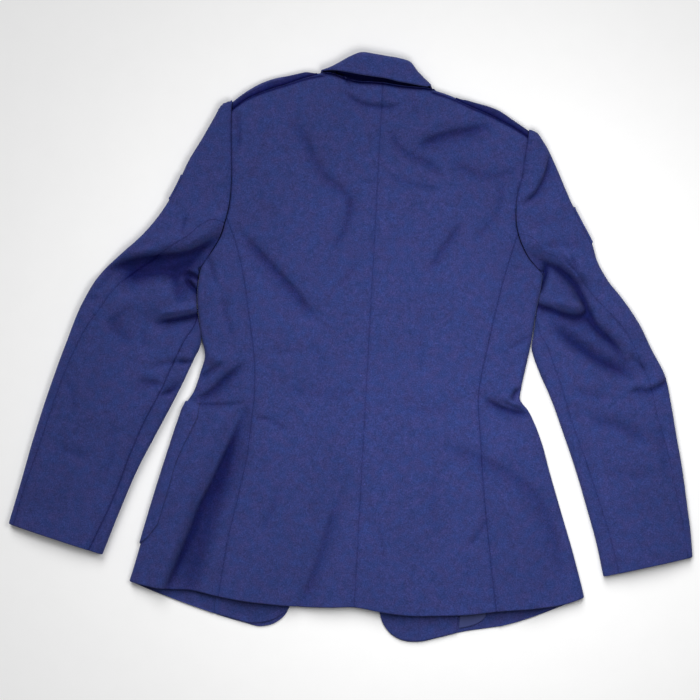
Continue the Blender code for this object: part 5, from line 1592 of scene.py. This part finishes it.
def add_button(number, down, metal):
    """A plain domed front button with a beaded rim, face down."""
    sides = BUTTON_SIDES
    radius = BUTTON_RADIUS * BUTTON_PROFILE["radius"]
    turns = np.arange(sides) * 2 * np.pi / sides
    bead = 1 + BUTTON_BEAD * np.cos(turns * sides / 4)
    x = CENTRE_FRONT - ORIGIN_X + radius[:, None] * np.cos(turns) * bead
    y = ORIGIN_DOWN - down + radius[:, None] * np.sin(turns) * bead
    z = np.repeat(BUTTON_THICK * BUTTON_PROFILE["depth"][:, None], sides, axis=1)
    corners = np.stack([x, y, z], -1).reshape(-1, 3)
    ring = np.arange(sides)
    onward = np.roll(ring, -1)
    band = np.stack([ring, onward, sides + onward, sides + ring], -1)
    quads = np.concatenate([band + k * sides for k in range(len(radius) - 1)])
    name = "button_metal_%d" % number
    flat = corners[:, :2] * MM
    piece = mesh_object(name, corners, quads, flat, np.zeros(len(corners)), metal)
    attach(piece, "root")
    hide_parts("button_%d" % number)


def new_material(name, roughness, **settings):
    """A Principled material whose uniform settings are set on the shader itself."""
    made = bpy.data.materials.new(name)
    made.use_nodes = True
    shader = made.node_tree.nodes["Principled BSDF"]
    shader.inputs["Roughness"].default_value = roughness
    for key, value in settings.items():
        shader.inputs[key.replace("_", " ")].default_value = value
    return made, made.node_tree, shader


def node(tree, kind, links=(), **values):
    """A node with its settings and inputs; links are pairs of input and output socket."""
    made = tree.nodes.new(kind)
    for key, value in values.items():
        if hasattr(made, key):
            setattr(made, key, value)
        else:
            made.inputs[key].default_value = value
    for key, socket in links:
        tree.links.new(made.inputs[key], socket)
    return made


def noise(tree, where, scale, detail, roughness=0.55):
    """A noise texture's factor."""
    made = node(
        tree, "ShaderNodeTexNoise", [("Vector", where)], Scale=scale, Detail=detail, Roughness=roughness
    )
    return made.outputs["Fac"]


def spread_of(tree, factor, low, high, to_low, to_high):
    """A factor's range stretched onto another."""
    made = node(tree, "ShaderNodeMapRange", [("Value", factor)])
    ends = {"From Min": low, "From Max": high, "To Min": to_low, "To Max": to_high}
    for key, value in ends.items():
        made.inputs[key].default_value = value
    return made.outputs["Result"]


def ramp(tree, factor, *stops):
    """Colours by a factor: stops are pairs of position and colour."""
    made = node(tree, "ShaderNodeValToRGB", [("Fac", factor)])
    elements = made.color_ramp.elements
    for k, (position, colour) in enumerate(stops):
        stop = elements[k] if k < len(elements) else elements.new(position)
        stop.position = position
        stop.color = colour
    return made.outputs["Color"]


def product(tree, first, second):
    """Two factors multiplied."""
    return node(tree, "ShaderNodeMath", [(0, first), (1, second)], operation="MULTIPLY").outputs[0]


def times(tree, first, second):
    """One colour multiplied by another."""
    made = node(tree, "ShaderNodeVectorMath", [(0, first), (1, second)], operation="MULTIPLY")
    return made.outputs["Vector"]


def tinted(tree, colour, factor):
    """A colour made lighter or darker by a factor."""
    made = node(tree, "ShaderNodeVectorMath", [(0, colour), ("Scale", factor)], operation="SCALE")
    return made.outputs["Vector"]


def scaled(tree, where, scale, turn_by=0.0):
    """Coordinates scaled and turned."""
    made = node(tree, "ShaderNodeMapping", [("Vector", where)], Scale=scale, Rotation=(0, 0, turn_by))
    return made.outputs["Vector"]


def scaled_colour(colour, shade=1.0):
    """A colour made lighter or darker, with its alpha."""
    return tuple(part * shade for part in colour) + (1.0,)


def coordinates(tree):
    """The garment's own coordinates, and the cloth's."""
    made = tree.nodes.new("ShaderNodeTexCoord")
    return made.outputs["Object"], made.outputs["UV"]


def add_bump(tree, shader, height, strength, depth):
    """Relief of a surface, its depth in metres."""
    made = node(tree, "ShaderNodeBump", [("Height", height)], Strength=strength, Distance=depth)
    tree.links.new(shader.inputs["Normal"], made.outputs["Normal"])


def wool_material(name, shade=1.0, weave=1.0):
    """Heathered blue wool blend: mixed fibres, slubby yarns, a fine twill, a soft nap and painted shade.
    """
    made, tree, shader = new_material(
        name, 0.86, Sheen_Roughness=0.45, Sheen_Tint=(0.5, 0.55, 0.95, 1.0)
    )
    place, cloth = coordinates(tree)
    fibres = noise(tree, place, *FIBRES)
    colour = ramp(
        tree, fibres,
        (0.30, scaled_colour(WOOL_DARK, shade)),
        (0.72, scaled_colour(WOOL_LIGHT, shade)),
        (0.5, scaled_colour(WOOL_BLUE, shade)),
    )
    casts = ramp(tree, noise(tree, place, *CAST_NOISE), *CASTS)
    factor = spread_of(tree, noise(tree, place, *LINT_NOISE), *LINT)
    for scale, detail, low, high in BLOTCHES:
        patches = noise(tree, place, scale, detail)
        factor = product(tree, factor, spread_of(tree, patches, *NOISE_RANGE, low, high))
    for scale, low, high in YARNS:
        yarns = noise(tree, scaled(tree, cloth, scale), 1.0, 2.0)
        factor = product(tree, factor, spread_of(tree, yarns, *NOISE_RANGE, low, high))

    # painted shade: the attribute darkens the wool towards a deep blue and takes its sheen and gloss
    # down
    painted_shade = node(tree, "ShaderNodeAttribute", attribute_name="painted_shade").outputs["Fac"]
    depth = spread_of(tree, painted_shade, -1.0, 0.0, 0.0, 1.0)
    painted_shade_colours = ramp(tree, depth, (0.0, scaled_colour(PAINTED_DEEP_SHADE)), (1.0, (1.0, 1.0, 1.0, 1.0)))
    mixed = times(tree, times(tree, colour, casts), painted_shade_colours)
    tree.links.new(shader.inputs["Base Color"], tinted(tree, mixed, factor))
    for key, (deep, plain) in WOOL_GLOSS.items():
        tree.links.new(shader.inputs[key], spread_of(tree, painted_shade, -1.0, 0.0, deep, plain))

    ribs = scaled(tree, cloth, (1.0, 1.0, 1.0), TWILL_TURN)
    twill = node(tree, "ShaderNodeTexWave", [("Vector", ribs)], **TWILL)
    relief = node(tree, "ShaderNodeMath", [(0, fibres), (1, twill.outputs["Fac"])], operation="ADD")
    add_bump(tree, shader, relief.outputs[0], WOOL_BUMP * weave, WOOL_RELIEF)
    return made


def lining_material():
    """Smooth blue satin lining."""
    made, tree, shader = new_material("satin_lining", 0.5, Specular_IOR_Level=0.3, Sheen_Weight=0.05)
    threads = noise(tree, scaled(tree, coordinates(tree)[1], (2600.0, 300.0, 1.0)), 1.0, 2.0)
    dark, light = (scaled_colour(LINING_BLUE, shade) for shade in (0.85, 1.15))
    tree.links.new(shader.inputs["Base Color"], ramp(tree, threads, (0.0, dark), (1.0, light)))
    add_bump(tree, shader, threads, 0.12, 0.0002)
    return made


def metal_material():
    """Satin silver metal of the buttons, a little worn."""
    made, tree, shader = new_material("satin_metal", 0.34, Metallic=1.0)
    wear = noise(tree, coordinates(tree)[0], 420.0, 5.0)
    stops = (0.3, (0.42, 0.43, 0.45, 1.0)), (1.0, (0.66, 0.67, 0.68, 1.0))
    tree.links.new(shader.inputs["Base Color"], ramp(tree, wear, *stops))
    tree.links.new(shader.inputs["Roughness"], spread_of(tree, wear, *NOISE_RANGE, 0.28, 0.42))
    return made


def floor_material():
    """Plain matt white surface."""
    made, tree, shader = new_material("floor_white", 0.9, Specular_IOR_Level=0.1)
    grain = noise(tree, coordinates(tree)[0], 30.0, 2.0)
    grain = spread_of(tree, grain, *NOISE_RANGE, 0.99, 1.0)
    white = tree.nodes.new("ShaderNodeRGB")
    white.outputs[0].default_value = (FLOOR_WHITE, FLOOR_WHITE, FLOOR_WHITE, 1.0)
    tree.links.new(shader.inputs["Base Color"], tinted(tree, white.outputs[0], grain))
    return made


def add_floor():
    """The surface that the tunic lies on."""
    half = FLOOR_SIZE / 2
    mesh = bpy.data.meshes.new("floor")
    signs = ((-1, -1), (1, -1), (1, 1), (-1, 1))
    mesh.from_pydata([(half * x, half * y, FLOOR_Z) for x, y in signs], [], [(0, 1, 2, 3)])
    mesh.materials.append(floor_material())
    placed("floor", mesh)


def placed(name, data):
    """A new object in the scene."""
    made = bpy.data.objects.new(name, data)
    bpy.context.collection.objects.link(made)
    return made


def add_lamp(name, kind, place, target, power, **settings):
    """A lamp that faces a place."""
    lamp = bpy.data.lights.new(name, kind)
    lamp.energy = power
    for key, value in settings.items():
        setattr(lamp, key, value)
    made = placed(name, lamp)
    made.location = place
    made.rotation_euler = (Vector(target) - Vector(place)).to_track_quat("-Z", "Y").to_euler()


def add_view():
    """The camera, straight above, and the soft studio light."""
    camera = placed("camera", bpy.data.cameras.new("camera"))
    camera.data.sensor_width = SENSOR
    camera.data.lens = LENS
    camera.data.clip_end = CLIP_END
    distance = VIEW_WIDTH * LENS / SENSOR
    camera.location = (VIEW_CENTRE[0], VIEW_CENTRE[1], distance + VIEW_PLANE)
    camera.rotation_euler = (0.0, 0.0, np.radians(VIEW_ROLL))
    bpy.context.scene.camera = camera

    world = bpy.data.worlds.new("studio")
    world.use_nodes = True
    sky = world.node_tree.nodes["Background"].inputs
    sky["Color"].default_value = (1.0, 1.0, 1.0, 1.0)
    sky["Strength"].default_value = SKY
    bpy.context.scene.world = world
    below = (FILL_PLACE[0], FILL_PLACE[1], 0.0)
    add_lamp("fill", "AREA", FILL_PLACE, below, FILL_LIGHT, shape="DISK", size=FILL_SIZE)
    add_lamp("window", "SUN", WINDOW_FROM, (0, 0, 0), WINDOW_LIGHT, angle=np.radians(WINDOW_SPREAD))
    bpy.context.scene.view_settings.view_transform = "Standard"


def main():
    """The stage and every piece of the tunic."""
    add_view()
    add_floor()
    wool = wool_material("wool")
    felt = wool_material("undercollar_felt", FELT_SHADE, FELT_WEAVE)
    lining = lining_material()
    metal = metal_material()
    for side in ("left", "right"):
        half = body_half(side)
        add_back(side, half, wool)
        add_side(side, half, wool)
        add_front(side, half, wool)
        form = sleeve_form(side)
        add_sleeve(side, form, wool)
        add_badge(side, form, wool)
        add_strap(side, half, wool)
        add_lapel(side, half, wool)
        add_facings(side, half, wool, lining)
        if side == "left":
            add_left_pocket(half, wool)
        else:
            add_right_pocket(half, wool)
    add_collar(wool, felt)
    for k, down in enumerate(BUTTONS_DOWN):
        add_button(k + 1, down, metal)


main()
